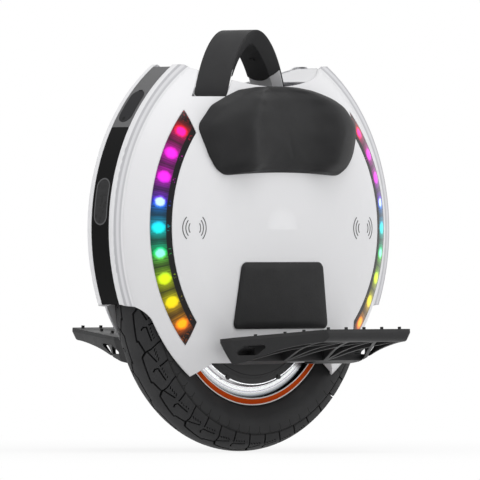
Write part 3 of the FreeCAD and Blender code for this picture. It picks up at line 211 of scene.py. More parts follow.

# Motor covers: cast aluminium under satin paint, with painted shade along the turned step round the hub: a
# dark line (#161617), also pressed in by the bump, and the chamfer at the rim cut back to bright metal
motorSizes = {"step": 0.1178, "line": 0.8 * mm, "depth": 4.0, "chamfer": 0.1298, "grain": 1.4,
              "paintRough": 0.5, "bareRough": 0.22}
motorPaint, tree, shader, place = newMaterial("aluminium_satin_painted", Specular_IOR_Level=0.2)
reach = polar(tree, place, axle.z)[0]
off = addNode(tree, "Math", {"operation": "SUBTRACT"}, {0: reach, 1: motorSizes["step"]})
away = addNode(tree, "Math", {"operation": "ABSOLUTE"}, {0: off})
stepLineShadeAndDepth = addNode(tree, "MapRange", None, {
    "Value": away, "From Min": motorSizes["line"] * 0.5, "From Max": motorSizes["line"]})
grain = addNode(tree, "TexNoise", None, {
    "Vector": place, "Scale": 1 / (motorSizes["grain"] * mm), "Detail": 3.0})
# painted shade: the step's line is painted near black
tone = addNode(tree, "Mix", {"data_type": "RGBA"}, {
    "Factor": stepLineShadeAndDepth, 6: srgb("#161617"), 7: srgb("#3E3E3F")})
bare = addNode(tree, "Math", {"operation": "GREATER_THAN"}, {0: reach, 1: motorSizes["chamfer"]})
tone = addNode(tree, "Mix", {"data_type": "RGBA"}, {
    "Factor": bare, 6: tone.outputs[2], 7: srgb("#E4E5E7")})
tree.links.new(tone.outputs[2], shader.inputs["Base Color"])
tree.links.new(bare.outputs[0], shader.inputs["Metallic"])
gloss = addNode(tree, "MapRange", None, {
    "Value": bare, "To Min": motorSizes["paintRough"], "To Max": motorSizes["bareRough"]})
tree.links.new(gloss.outputs[0], shader.inputs["Roughness"])
height = addNode(tree, "Math", {"operation": "MULTIPLY_ADD"}, {
    0: stepLineShadeAndDepth, 1: motorSizes["depth"], 2: grain.outputs["Fac"]})
bump = addNode(tree, "Bump", None, {"Height": height, "Strength": 0.15, "Distance": 0.5 * mm})
tree.links.new(bump.outputs[0], shader.inputs["Normal"])

# Polished aluminium rim: turned on a lathe, so fine rings (0.4 mm, drawn at 1.5 mm) stretch the highlights;
# painted reflection: bright at its inner edge and darker in bands towards the printed ring, with a painted
# shade line for a turned groove
rimSizes = {"bright": 0.1395, "dark": 0.1475, "ring": 1.5, "roughLow": 0.08, "roughHigh": 0.26}
rimPolish, tree, shader, place = newMaterial("aluminium_turned_polished", Metallic=1.0)
reach = polar(tree, place, axle.z)[0]
rings = addNode(tree, "TexNoise", {"noise_dimensions": "1D"}, {
    "W": reach, "Scale": 1 / (rimSizes["ring"] * mm), "Detail": 2.0})
across = addNode(tree, "MapRange", None, {
    "Value": reach, "From Min": rimSizes["bright"], "From Max": rimSizes["dark"]})
# painted reflection and shade: bright and dark bands for what the polished metal mirrors, and a dark line at
# 10 %
bands = addNode(tree, "ValToRGB", None, {"Fac": across}, [
    (0.0, "#E8E9EB"), (0.1, "#9A9CA0"), (0.2, "#D6D8DA"), (0.6, "#B0B2B6"),
    (0.8, "#808286"), (1.0, "#3A3B3D")])
streak = addNode(tree, "Mix", {"data_type": "RGBA", "blend_type": "MULTIPLY"}, {
    "Factor": 0.3, 6: bands.outputs["Color"], 7: rings.outputs["Color"]})
tree.links.new(streak.outputs[2], shader.inputs["Base Color"])
gloss = addNode(tree, "MapRange", None, {
    "Value": rings.outputs["Fac"], "To Min": rimSizes["roughLow"], "To Max": rimSizes["roughHigh"]})
tree.links.new(gloss.outputs[0], shader.inputs["Roughness"])
bump = addNode(tree, "Bump", None, {"Height": rings.outputs["Fac"], "Strength": 0.12, "Distance": 0.2 * mm})
tree.links.new(bump.outputs[0], shader.inputs["Normal"])

# Vinyl ring on the rim: burnt orange between two 1.5 mm silver-white lines
ringSizes = {"inner": 0.1492, "outer": 0.1592, "line": 0.15}
ringVinyl, tree, shader, place = newMaterial("vinyl_printed_ring", Roughness=0.6, Specular_IOR_Level=0.05)
reach = polar(tree, place, axle.z)[0]
across = addNode(tree, "MapRange", None, {
    "Value": reach, "From Min": ringSizes["inner"], "From Max": ringSizes["outer"]})
bands = addNode(tree, "ValToRGB", None, {"Fac": across}, [
    (0.0, "#E8E4E2"), (ringSizes["line"], "#C84600"), (0.5, "#C04200"), (1 - ringSizes["line"], "#E8E4E2")])
bands.color_ramp.interpolation = "CONSTANT"
tree.links.new(bands.outputs["Color"], shader.inputs["Base Color"])

# Smoked polycarbonate of the head and tail lamps: grey glass with a lighter rim (#515153) round its edge;
# painted reflection: the reflector behind the glass is not modelled, its facets are painted as cells of dark
# and lighter grey
lampSizes = {"centre": 0.307, "rise": math.asin(38.5 / 271), "reach": 0.271, "straight": 20.0, "half": 13.0,
             "rim": 1.8, "rimEdge": 0.8, "cell": 9.0}
lampSmoke, tree, shader, place = newMaterial("polycarbonate_moulded_smoked", Roughness=0.12,
                                             IOR=1.58, Specular_IOR_Level=0.2)
turn = polar(tree, place, lampSizes["centre"])[1]
split = addNode(tree, "SeparateXYZ", None, {0: place})
climb = addNode(tree, "Math", {"operation": "MULTIPLY_ADD"}, {
    0: turn, 1: lampSizes["reach"] / mm, 2: -lampSizes["rise"] * lampSizes["reach"] / mm})
past = addNode(tree, "Math", {"operation": "ABSOLUTE"}, {0: climb})
past = addNode(tree, "Math", {"operation": "SUBTRACT"}, {0: past, 1: lampSizes["straight"]})
past = addNode(tree, "Math", {"operation": "MAXIMUM"}, {0: past, 1: 0.0})
side = addNode(tree, "Math", {"operation": "DIVIDE"}, {0: split.outputs["Y"], 1: mm})
flat = addNode(tree, "CombineXYZ", None, {"X": past, "Y": side})
spread = addNode(tree, "VectorMath", {"operation": "LENGTH"}, {0: flat})
rim = addNode(tree, "MapRange", {"interpolation_type": "SMOOTHSTEP"}, {
    "Value": spread.outputs["Value"], "From Min": lampSizes["half"] - lampSizes["rim"] - lampSizes["rimEdge"],
    "From Max": lampSizes["half"] - lampSizes["rim"]})
facets = addNode(tree, "TexVoronoi", {"distance": "CHEBYCHEV"}, {
    "Vector": place, "Scale": 1 / (lampSizes["cell"] * mm)})
# painted reflection: grey cells for the reflector's facets
reflectorReflection = addNode(tree, "ValToRGB", None, {"Fac": facets.outputs["Distance"]},
                [(0.1, "#0A0A0B"), (0.2, "#1C1C1D"), (0.45, "#242426"), (0.6, "#161617")])
tone = addNode(tree, "Mix", {"data_type": "RGBA"}, {
    "Factor": rim, 6: reflectorReflection.outputs["Color"], 7: srgb("#515153")})
tree.links.new(tone.outputs[2], shader.inputs["Base Color"])
print("plain finishes made")


# Light windows: smoked acrylic over nine lamps, each lighting the haze round it; a place along the window
# is counted in lamps from the middle one
ledSizes = {"centre": 0.3096, "row": 0.2185, "pitch": math.radians(9.3), "core": 5.6, "coreEdge": (1.2, 1.8),
            "dot": 8.6, "dotEdge": (2.0, 2.4), "halo": 19.0, "haloGlow": (0.4, 0.1), "wobble": 4, "blur": 1.2,
            "last": 4.0, "rowEnd": 4.5, "tipStart": 4.2, "tipSpecks": 4.4, "tipGlow": 0.03,
            "bezel": 0.2085, "bezelEdge": 1.2, "bezelGlow": 0.02, "line": 0.055, "lineGlow": (0.45, 1.15),
            "paintedGlint": 2.2, "speckRange": (0.58, 0.66), "speckGlow": 0.3, "beside": 5.0,
            "strip": 0.2055, "stripHalf": 1.8}
ledColours = ["#FF7A00", "#FFE600", "#D8FF00", "#18E860", "#00F0FF",
              "#2846FF", "#FF10F0", "#FF10E8", "#FF1030"]
ledCores = ["#FFC400", "#FFF000", "#EEFF10", "#9CFFF4", "#10FFFF",
            "#D8FCFF", "#FF28FF", "#FF28FF", "#FF18C0"]


def ledWindowMaterial(sizes):
    material, tree, shader, place = newMaterial("acrylic_moulded_smoked_lit", Base_Color=srgb("#0C0C0D"),
                                                Roughness=0.14, IOR=1.49, Specular_IOR_Level=0.25,
                                                Emission_Strength=1.0)
    reach, turn = polar(tree, place, sizes["centre"])
    step = addNode(tree, "Math", {"operation": "DIVIDE"}, {0: turn, 1: sizes["pitch"]})
    nearest = addNode(tree, "Math", {"operation": "ROUND"}, {0: step})
    off = addNode(tree, "Math", {"operation": "SUBTRACT"}, {0: step, 1: nearest})
    along = addNode(tree, "Math", {"operation": "MULTIPLY"}, {0: off, 1: sizes["pitch"] * sizes["row"] / mm})
    radial = addNode(tree, "Math", {"operation": "SUBTRACT"}, {0: reach, 1: sizes["row"]})
    depth = addNode(tree, "Math", {"operation": "DIVIDE"}, {0: radial, 1: mm})
    flat = addNode(tree, "CombineXYZ", None, {"X": along, "Y": depth})
    spread = addNode(tree, "VectorMath", {"operation": "LENGTH"}, {0: flat})
    wobble = addNode(tree, "TexNoise", None, {"Vector": place, "Scale": 1 / (sizes["wobble"] * mm)})
    blur = addNode(tree, "MapRange", None, {
        "Value": wobble.outputs["Fac"], "To Min": -sizes["blur"], "To Max": sizes["blur"]})
    distance = addNode(tree, "Math", {"operation": "ADD"}, {0: spread.outputs["Value"], 1: blur})
    fromMiddle = addNode(tree, "Math", {"operation": "ABSOLUTE"}, {0: step})
    inRow = addNode(tree, "Math", {"operation": "LESS_THAN"}, {0: fromMiddle, 1: sizes["rowEnd"]})
    core = addNode(tree, "MapRange", {"interpolation_type": "SMOOTHSTEP"}, {
        "Value": distance, "From Min": sizes["core"] - sizes["coreEdge"][0],
        "From Max": sizes["core"] + sizes["coreEdge"][1], "To Min": 1.0, "To Max": 0.0})
    dot = addNode(tree, "MapRange", {"interpolation_type": "SMOOTHSTEP"}, {
        "Value": distance, "From Min": sizes["dot"] - sizes["dotEdge"][0],
        "From Max": sizes["dot"] + sizes["dotEdge"][1], "To Min": 1.0, "To Max": 0.0})
    halo = addNode(tree, "MapRange", {"interpolation_type": "SMOOTHSTEP"}, {
        "Value": distance, "From Min": sizes["dot"], "From Max": sizes["halo"],
        "To Min": sizes["haloGlow"][0], "To Max": sizes["haloGlow"][1]})
    tips = addNode(tree, "MapRange", None, {
        "Value": fromMiddle, "From Min": sizes["tipStart"], "From Max": sizes["rowEnd"],
        "To Min": 1.0, "To Max": sizes["tipGlow"]})
    band = addNode(tree, "MapRange", {"interpolation_type": "SMOOTHSTEP"}, {
        "Value": reach, "From Min": sizes["bezel"], "From Max": sizes["bezel"] + sizes["bezelEdge"] * mm,
        "To Min": sizes["bezelGlow"], "To Max": 1.0})
    # fine ribs moulded across the back of the window, 2 mm apart
    lines = addNode(tree, "TexNoise", {"noise_dimensions": "1D"}, {
        "W": step, "Scale": 1 / sizes["line"], "Detail": 1.0})
    ribTone = addNode(tree, "MapRange", None, {
        "Value": lines.outputs["Fac"], "From Min": noiseLow, "From Max": noiseHigh,
        "To Min": sizes["lineGlow"][0], "To Max": sizes["lineGlow"][1]})
    # painted glints: glowing specks in the dark bezel beside each lamp, and all over the tips, stand for the
    # lamps' light caught there
    dust = addNode(tree, "TexNoise", None, {
        "Vector": place, "Scale": 1 / (sizes["paintedGlint"] * mm), "Detail": 1.0})
    paintedGlint = addNode(tree, "MapRange", None, {
        "Value": dust.outputs["Fac"], "From Min": sizes["speckRange"][0], "From Max": sizes["speckRange"][1]})
    beside = addNode(tree, "Math", {"operation": "COMPARE"}, {0: along, 1: 0.0, 2: sizes["beside"]})
    strip = addNode(tree, "Math", {"operation": "COMPARE"}, {
        0: reach, 1: sizes["strip"], 2: sizes["stripHalf"] * mm})
    bezelLit = addNode(tree, "Math", {"operation": "MULTIPLY"}, {0: beside, 1: strip})
    tipLit = addNode(tree, "Math", {"operation": "GREATER_THAN"}, {0: fromMiddle, 1: sizes["tipSpecks"]})
    where = addNode(tree, "Math", {"operation": "MAXIMUM"}, {0: bezelLit, 1: tipLit})
    paintedGlint = addNode(tree, "Math", {"operation": "MULTIPLY"}, {0: paintedGlint, 1: where})
    paintedGlint = addNode(tree, "Math", {"operation": "MULTIPLY"}, {0: paintedGlint, 1: sizes["speckGlow"]})
    # the haze changes colour along the window, each lamp has one colour
    colours = []
    for position, shades in ((step, ledColours), (nearest, ledCores)):
        share = addNode(tree, "MapRange", None, {
            "Value": position, "From Min": -sizes["last"], "From Max": sizes["last"]})
        stops = [(index / (len(shades) - 1), colour) for index, colour in enumerate(shades)]
        colours.append(addNode(tree, "ValToRGB", None, {"Fac": share}, stops).outputs["Color"])
    soft = addNode(tree, "Math", {"operation": "MULTIPLY"}, {0: halo, 1: ribTone})
    soft = addNode(tree, "Math", {"operation": "MULTIPLY"}, {0: soft, 1: tips})
    ring = addNode(tree, "Math", {"operation": "MULTIPLY"}, {0: dot, 1: inRow})
    soft = addNode(tree, "Math", {"operation": "MAXIMUM"}, {0: soft, 1: ring})
    soft = addNode(tree, "Math", {"operation": "MULTIPLY"}, {0: soft, 1: band})
    soft = addNode(tree, "Math", {"operation": "MAXIMUM"}, {0: soft, 1: paintedGlint})
    glow = addNode(tree, "Mix", {"data_type": "RGBA"}, {"Factor": soft, 6: srgb("#000000"), 7: colours[0]})
    hot = addNode(tree, "Math", {"operation": "MULTIPLY"}, {0: core, 1: inRow})
    light = addNode(tree, "Mix", {"data_type": "RGBA"}, {"Factor": hot, 6: glow.outputs[2], 7: colours[1]})
    tree.links.new(light.outputs[2], shader.inputs["Emission Color"])
    return material


ledWindow = ledWindowMaterial(ledSizes)
print("light windows made")


# Tyre: a round crown and two round sidewalls, as the section through its axle shows them in millimetres;
# "outside" gives the carcass as (out from the middle, depth below the face), and "beads" and "hollow" give
# (side, radius)
tyreSizes = {"count": 22, "radius": 223.0, "crownRadius": 53.05, "crownCentre": 169.95, "shoulder": 33.13,
             "wallRadius": 35.81, "wallCentre": (191.5, 2.357), "wallStart": math.radians(36.9),
             "blockDepth": 4.2, "groove": 2.5, "edgeRound": 0.5, "edgeAngle": 40, "turns": 144, "weld": 0.01,
             "outside": ((80, 0), (75, 0), (70, 0), (66, 0), (62, 0), (58, 0), (54, 0), (50.5, 0), (49, 0.3),
                         (48, 1.2), (44, 3.8), (38, 4.0), (33, 4.0), (28, 4.0), (22, 4.0), (16, 4.0),
                         (8, 4.0)),
             "beads": ((22.4, 153.9), (22.4, 159.9), (24.6, 160.4), (28.0, 164.2)),
             "hollow": ((20, 207), (31, 190), (27, 172), (15.5, 153.9)),
             "yCount": 60, "yRadius": 195.0, "yLean": 0.7, "yLine": (0.5, 0.9), "yMiddle": -1.0, "yHalf": 5.5,
             "line": 200.5, "lineHalf": (0.35, 0.75), "cutDepth": -4.0, "grain": 1.4, "dust": 40}


# Groove floor between the blocks: the same rubber, painted darker (#151516) than the blocks' faces: painted
# shade in the grooves
grooveShadeRubber = grained("rubber_moulded_groove_shade", "#151516", 0.75, 1.4, 0.2, Specular_IOR_Level=0.1)


# Tyre rubber: matt moulded carbon-black compound, with small Y-shaped sipes round the upper sidewall, pressed
# in by the bump and painted darker for the shade in them
def tyreRubber(sizes):
    material, tree, shader, place = newMaterial("rubber_moulded_tyre", Roughness=0.62, Specular_IOR_Level=0.2)
    reach, turn = polar(tree, place, axle.z, False)
    step = addNode(tree, "Math", {"operation": "MULTIPLY"}, {0: turn, 1: sizes["yCount"] / (2 * math.pi)})
    nearest = addNode(tree, "Math", {"operation": "ROUND"}, {0: step})
    off = addNode(tree, "Math", {"operation": "SUBTRACT"}, {0: step, 1: nearest})
    side = addNode(tree, "Math", {"operation": "MULTIPLY"}, {
        0: off, 1: 2 * math.pi * sizes["yRadius"] / sizes["yCount"]})
    wide = addNode(tree, "Math", {"operation": "ABSOLUTE"}, {0: side})
    up = addNode(tree, "Math", {"operation": "MULTIPLY_ADD"}, {0: reach, 1: 1 / mm, 2: -sizes["yRadius"]})
    arm = addNode(tree, "Math", {"operation": "MAXIMUM"}, {0: up, 1: 0.0})
    lean = addNode(tree, "Math", {"operation": "MULTIPLY"}, {0: arm, 1: sizes["yLean"]})
    gap = addNode(tree, "Math", {"operation": "SUBTRACT"}, {0: wide, 1: lean})
    gap = addNode(tree, "Math", {"operation": "ABSOLUTE"}, {0: gap})
    line = addNode(tree, "MapRange", None, {
        "Value": gap, "From Min": sizes["yLine"][0], "From Max": sizes["yLine"][1],
        "To Min": 1.0, "To Max": 0.0})
    high = addNode(tree, "Math", {"operation": "COMPARE"}, {0: up, 1: sizes["yMiddle"], 2: sizes["yHalf"]})
    sipe = addNode(tree, "Math", {"operation": "MULTIPLY"}, {0: line, 1: high})
    # one fine moulded line all round, above the sipes
    rung = addNode(tree, "Math", {"operation": "MULTIPLY_ADD"}, {0: reach, 1: 1 / mm, 2: -sizes["line"]})
    rung = addNode(tree, "Math", {"operation": "ABSOLUTE"}, {0: rung})
    rung = addNode(tree, "MapRange", None, {
        "Value": rung, "From Min": sizes["lineHalf"][0], "From Max": sizes["lineHalf"][1],
        "To Min": 1.0, "To Max": 0.0})
    sipe = addNode(tree, "Math", {"operation": "MAXIMUM"}, {0: sipe, 1: rung})
    grain = addNode(tree, "TexNoise", None, {
        "Vector": place, "Scale": 1 / (sizes["grain"] * mm), "Detail": 3.0})
    dust = addNode(tree, "TexNoise", None, {
        "Vector": place, "Scale": 1 / (sizes["dust"] * mm), "Detail": 3.0})
    tone = addNode(tree, "ValToRGB", None, {"Fac": dust.outputs["Fac"]}, [
        (noiseLow, "#2B2B2C"), (noiseHigh, "#343435")])
    # painted shade: the sipes and the fine line are painted darker (#161616) than the rubber
    sipeShade = addNode(tree, "Mix", {"data_type": "RGBA"}, {
        "Factor": sipe, 6: tone.outputs["Color"], 7: srgb("#161616")})
    tree.links.new(sipeShade.outputs[2], shader.inputs["Base Color"])
    deep = addNode(tree, "Math", {"operation": "MULTIPLY_ADD"}, {
        0: sipe, 1: sizes["cutDepth"], 2: grain.outputs["Fac"]})
    bump = addNode(tree, "Bump", None, {"Height": deep, "Strength": 0.35, "Distance": 0.3 * mm})
    tree.links.new(bump.outputs[0], shader.inputs["Normal"])
    return material


def treadPoint(sizes, around, across, depth):
    # around and across are millimetres on the tread, depth is below its face
    side = -1 if across < 0 else 1
    reach = abs(across)
    if reach <= sizes["shoulder"]:
        lean = reach / sizes["crownRadius"]
        radius = sizes["crownCentre"] + (sizes["crownRadius"] - depth) * math.cos(lean)
        y = (sizes["crownRadius"] - depth) * math.sin(lean)
    else:
        lean = sizes["wallStart"] - (reach - sizes["shoulder"]) / sizes["wallRadius"]
        radius = sizes["wallCentre"][0] + (sizes["wallRadius"] - depth) * math.sin(lean)
        y = sizes["wallCentre"][1] + (sizes["wallRadius"] - depth) * math.cos(lean)
    turn = around / sizes["radius"]
    return Vector((radius * math.sin(turn), side * y, axle.z / mm - radius * math.cos(turn))) * mm


def between(low, high, share):
    return low + (high - low) * share


# One repeat of the tread, drawn flat as (back round the tyre, out from its middle) in millimetres:
# half of the middle rib, and the wide block beside it with its open cuts, its hook and two rows of sipes
treadSizes = {
    "ribEdge": ((0.0, 10.4), (41.0, 8.9), (41.8, 12.0), (56.0, 17.3)),
    "block": ((-5.7, 20.0), (0.8, 13.4), (38.2, 11.9), (38.9, 14.4), (54.8, 20.0), (52.5, 28.0), (46.0, 39.5),
              (43.0, 48.0), (14.9, 48.0), (16.9, 41.0), (19.3, 32.8), (16.7, 32.2), (14.2, 41.0),
              (12.2, 48.0), (-18.2, 48.0), (-15.2, 39.5), (-8.7, 28.0), (-7.5, 23.9), (10.0, 32.4),
              (11.0, 30.2), (-6.4, 21.7)),
    "hook": ((23.7, 19.7), (19.2, 24.1), (19.8, 30.3), (41.8, 33.6), (42.2, 31.4), (21.8, 28.3), (21.5, 24.9),
             (25.3, 21.3)),
    "sipes": (((-6.0, 32.0), (5.0, 0.5), (-4.5, 2.6)), ((24.5, 33.6), (5.0, 0.7), (-3.0, 2.0))),
    "sipeCount": 4, "sipeWidth": 1.4, "steps": 16, "rows": 20, "row": 2.5, "near": 0.001}


def sipeCuts(sizes):  # corners of each narrow straight cut
    cuts = []
    for first, pitch, run in sizes["sipes"]:
        run = Vector(run)
        half = run.orthogonal().normalized() * sizes["sipeWidth"] / 2
        for index in range(sizes["sipeCount"]):
            foot = Vector(first) + Vector(pitch) * index
            cuts.append([foot - half, foot + half, foot + run + half, foot + run - half])
    return cuts


def treadPiece(sizes, outline, cuts, repeat, depth):
    # filled with its cuts left open, squared up so that it bends smoothly, then walled down to the carcass
    bm = bmesh.new()
    for loop in [outline] + cuts:
        ring = [bm.verts.new((-around, across, 0)) for around, across in loop]
        for index in range(len(ring)):
            bm.edges.new((ring[index - 1], ring[index]))
    bmesh.ops.triangle_fill(bm, use_beauty=True, use_dissolve=False, edges=bm.edges[:], normal=(0, 0, 1))
    steps = sizes["steps"]
    planes = [((index * repeat / steps, 0, 0), (1, 0, 0)) for index in range(-steps, steps)]
    planes += [((0, index * sizes["row"], 0), (0, 1, 0)) for index in range(1, sizes["rows"])]
    for place, facing in planes:
        bmesh.ops.bisect_plane(bm, geom=bm.verts[:] + bm.edges[:] + bm.faces[:], dist=sizes["near"],
                               plane_co=place, plane_no=facing)
    edges = []
    for edge in bm.edges:
        one, other = [vert.co for vert in edge.verts]
        atEnd = one.x == other.x and (one.x == 0 or abs(one.x + repeat) < sizes["near"])
        joined = atEnd or one.y == other.y == 0
        if edge.is_boundary and not (joined and outline[0] == (0, 0)):
            edges.append(edge)
    walls = bmesh.ops.extrude_edge_only(bm, edges=edges)["geom"]
    bmesh.ops.translate(bm, verts=[g for g in walls if isinstance(g, bmesh.types.BMVert)], vec=(0, 0, -depth))
    return bm


def joinInto(bm, part):  # adds one bmesh to another
    mesh = bpy.data.meshes.new("part")
    part.to_mesh(mesh)
    part.free()
    bm.from_mesh(mesh)
    bpy.data.meshes.remove(mesh)


def depthBelow(sizes, point):  # how deep a point lies under the tread's face, and its radius, in millimetres
    reach = math.hypot(point.x, point.z - axle.z) / mm
    out = abs(point.y) / mm
    if math.atan2(out, reach - sizes["crownCentre"]) > sizes["shoulder"] / sizes["crownRadius"]:
        depth = sizes["wallRadius"] - math.hypot(reach - sizes["wallCentre"][0], out - sizes["wallCentre"][1])
    else:
        depth = sizes["crownRadius"] - math.hypot(reach - sizes["crownCentre"], out)
    return depth, reach


def makeCarcass(sizes):  # under the blocks, with plain sidewalls down to the beads
    left = [Vector((0, y * mm, axle.z - radius * mm)) for y, radius in sizes["beads"]]
    left += [treadPoint(sizes, 0, across, depth) for across, depth in sizes["outside"]]
    inside = [Vector((0, y * mm, axle.z - radius * mm)) for y, radius in sizes["hollow"]]
    profile = left + [Vector((0, -p.y, p.z)) for p in reversed(left)]
    profile += [Vector((0, -p.y, p.z)) for p in reversed(inside)] + inside
    bm = bmesh.new()
    ring = [bm.verts.new(point) for point in profile]
    loop = [bm.edges.new((ring[index - 1], ring[index])) for index in range(len(ring))]
    bmesh.ops.spin(bm, geom=ring + loop, cent=axle, axis=(0, 1, 0), dvec=(0, 0, 0), angle=2 * math.pi,
                   steps=sizes["turns"], use_merge=True)
    bmesh.ops.remove_doubles(bm, verts=bm.verts[:], dist=sizes["weld"] * mm)
    bmesh.ops.recalc_face_normals(bm, faces=bm.faces[:])
    for face in bm.faces:
        face.smooth = True
        depth, reach = depthBelow(sizes, face.calc_center_median())
        # painted shade: faces deeper than the groove take the darker groove finish
        face.material_index = 1 if depth > sizes["groove"] and reach > sizes["line"] else 0
    return bm


def makeTyre(sizes):
    repeat = 2 * math.pi * sizes["radius"] / sizes["count"]
    edge = treadSizes["ribEdge"]
    rib = [(0, 0), *edge, (repeat, edge[0][1]), (repeat, 0)]
    blockCuts = [treadSizes["hook"]] + sipeCuts(treadSizes)
    bm = bmesh.new()
    for outline, cuts in ((rib, []), (list(treadSizes["block"]), blockCuts)):
        joinInto(bm, treadPiece(treadSizes, outline, cuts, repeat, sizes["blockDepth"]))
    # the other half is the same, moved on by half a repeat
    mirrored = bmesh.ops.duplicate(bm, geom=bm.verts[:] + bm.edges[:] + bm.faces[:])["geom"]
    for vert in [g for g in mirrored if isinstance(g, bmesh.types.BMVert)]:
        vert.co = (vert.co.x + repeat / 2, -vert.co.y, vert.co.z)
    for vert in bm.verts:
        vert.co = treadPoint(sizes, vert.co.x, vert.co.y, -vert.co.z)
    bmesh.ops.spin(bm, geom=bm.verts[:] + bm.edges[:] + bm.faces[:], cent=axle, axis=(0, 1, 0),
                   dvec=(0, 0, 0), angle=2 * math.pi * (sizes["count"] - 1) / sizes["count"],
                   steps=sizes["count"] - 1, use_duplicate=True)
    bmesh.ops.remove_doubles(bm, verts=bm.verts[:], dist=sizes["weld"] * mm)
    bmesh.ops.recalc_face_normals(bm, faces=bm.faces[:])
    joinInto(bm, makeCarcass(sizes))
    tyre = pieceFrom(bm, "tyreTread", tyreRubber(sizes))
    tyre.data.materials.append(grooveShadeRubber)
    edgeRound = tyre.modifiers.new("edgeRound", "BEVEL")
    edgeRound.width = sizes["edgeRound"] * mm
    edgeRound.segments = 1
    edgeRound.limit_method = "ANGLE"
    edgeRound.angle_limit = math.radians(sizes["edgeAngle"])
    return tyre


tyre = makeTyre(tyreSizes)
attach(tyre, "wheel")
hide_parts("tyre")
print("tyre made:", len(tyre.data.polygons), "faces")


# The shell's side face, for what lies on it
shellSizes = {"height": 307.0, "half": 83.0, "panel": 165.0, "crownArc": 2477.75, "flankArc": 125.6,
              "flankRadius": 156.64, "flankDepth": -47.82}


def shellFace(x, z):  # metres in and out
    sizes = shellSizes
    reach = math.hypot(x / mm, z / mm - sizes["height"])
    if reach < sizes["panel"]:
        depth = sizes["half"] - sizes["crownArc"] + math.sqrt(sizes["crownArc"] ** 2 - reach ** 2)
    else:
        depth = sizes["flankDepth"] + math.sqrt(sizes["flankArc"] ** 2 - (reach - sizes["flankRadius"]) ** 2)
    return depth * mm


# Scoop behind the handle: a thin moulded trough between the shells, just under their upper edge
scoopSizes = {"height": 504.0, "rise": 30.0, "half": 136.0, "start": 75.5, "end": 133.0, "drop": 1.2,
              "wall": 3.4, "thick": 1.5, "along": 20, "across": 12}


def makeScoop(sizes):
    radius = (sizes["half"] ** 2 + sizes["rise"] ** 2) / (2 * sizes["rise"])
    bm = bmesh.new()
    bmesh.ops.create_grid(bm, x_segments=sizes["along"], y_segments=sizes["across"], size=0.5)
    for vert in bm.verts:
        x = -between(sizes["start"], sizes["end"], 0.5 - vert.co.x)
        z = sizes["height"] + radius - math.sqrt(radius ** 2 - x ** 2) - sizes["drop"]
        reach = shellFace(x * mm, z * mm) / mm - sizes["wall"]
        vert.co = Vector((x, 2 * vert.co.y * reach, z)) * mm
    for face in bm.faces:
        face.smooth = True
    scoop = pieceFrom(bm, "rearScoop", shellWhite)
    skin = scoop.modifiers.new("skin", "SOLIDIFY")
    skin.thickness = sizes["thick"] * mm
    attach(scoop, "chassis")


makeScoop(scoopSizes)
print("scoop made")


# Printed sound-wave marks: three arcs each way, on both sides and both ends
markSizes = {"place": 165.0, "height": 309.0, "arcs": ((10.5, 37), (15.5, 43), (20.5, 47)), "line": 1.3,
             "stand": 0.15, "ink": 0.2, "steps": 14}


def makeMarks(sizes, side):
    bm = bmesh.new()
    for end in (-1, 1):
        centre = Vector((end * sizes["place"] * mm, 0, sizes["height"] * mm))
        for radius, reach in sizes["arcs"]:
            for way in (0, 180):
                inner = bm.verts.new(centre + Vector(((radius - sizes["line"] / 2) * mm, 0, 0)))
                outer = bm.verts.new(centre + Vector(((radius + sizes["line"] / 2) * mm, 0, 0)))
                edge = bm.edges.new((inner, outer))
                turn = Matrix.Rotation(math.radians(way - reach), 4, "Y")
                bmesh.ops.rotate(bm, verts=[inner, outer], cent=centre, matrix=turn)
                bmesh.ops.spin(bm, geom=[inner, outer, edge], cent=centre, axis=(0, 1, 0), dvec=(0, 0, 0),
                               angle=math.radians(2 * reach), steps=sizes["steps"])
    for vert in bm.verts:
        vert.co.y = side * (shellFace(vert.co.x, vert.co.z) + sizes["stand"] * mm)
    bmesh.ops.recalc_face_normals(bm, faces=bm.faces[:])
    marks = pieceFrom(bm, "waveMarks" + ("Left" if side > 0 else "Right"), markInk)
    skin = marks.modifiers.new("skin", "SOLIDIFY")
    skin.thickness = sizes["ink"] * mm
    skin.offset = 0.0
    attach(marks, "chassis")


for side in (1, -1):
    makeMarks(markSizes, side)
print("wave marks made")


# Pad cover: polyurethane leather over foam, embossed with a pebble grain (1.3 mm on the leg pads, 1.9 mm on
# the ankle pads), dull with a soft sheen
leatherSizes = {"fold": 6, "foldDepth": 0.35, "cloud": 45, "roughLow": 0.48, "roughHigh": 0.62}


def padLeather(sizes, name, grainMm, depth):
    material, tree, shader, place = newMaterial(name, Specular_IOR_Level=0.2)
    pebble = addNode(tree, "TexVoronoi", {"feature": "SMOOTH_F1"}, {
        "Vector": place, "Scale": 1 / (grainMm * mm), "Smoothness": 0.5, "Randomness": 1.0})
    fold = addNode(tree, "TexNoise", None, {
        "Vector": place, "Scale": 1 / (sizes["fold"] * mm), "Detail": 4.0})
    cloud = addNode(tree, "TexNoise", None, {
        "Vector": place, "Scale": 1 / (sizes["cloud"] * mm), "Detail": 2.0})
    tone = addNode(tree, "ValToRGB", None, {"Fac": cloud.outputs["Fac"]}, [
        (noiseLow, "#212122"), (noiseHigh, "#282829")])
    tree.links.new(tone.outputs["Color"], shader.inputs["Base Color"])
    gloss = addNode(tree, "MapRange", None, {
        "Value": pebble.outputs["Distance"], "To Min": sizes["roughLow"], "To Max": sizes["roughHigh"]})
    tree.links.new(gloss.outputs[0], shader.inputs["Roughness"])
    height = addNode(tree, "Math", {"operation": "MULTIPLY_ADD"}, {
        0: fold.outputs["Fac"], 1: sizes["foldDepth"], 2: pebble.outputs["Distance"]})
    bump = addNode(tree, "Bump", {"invert": True}, {
        "Height": height, "Strength": depth, "Distance": 0.25 * mm})
    tree.links.new(bump.outputs[0], shader.inputs["Normal"])
    return material


legLeather = padLeather(leatherSizes, "polyurethane_leather_fine_grain", 1.3, 0.18)
ankleLeather = padLeather(leatherSizes, "polyurethane_leather_embossed", 1.9, 0.4)


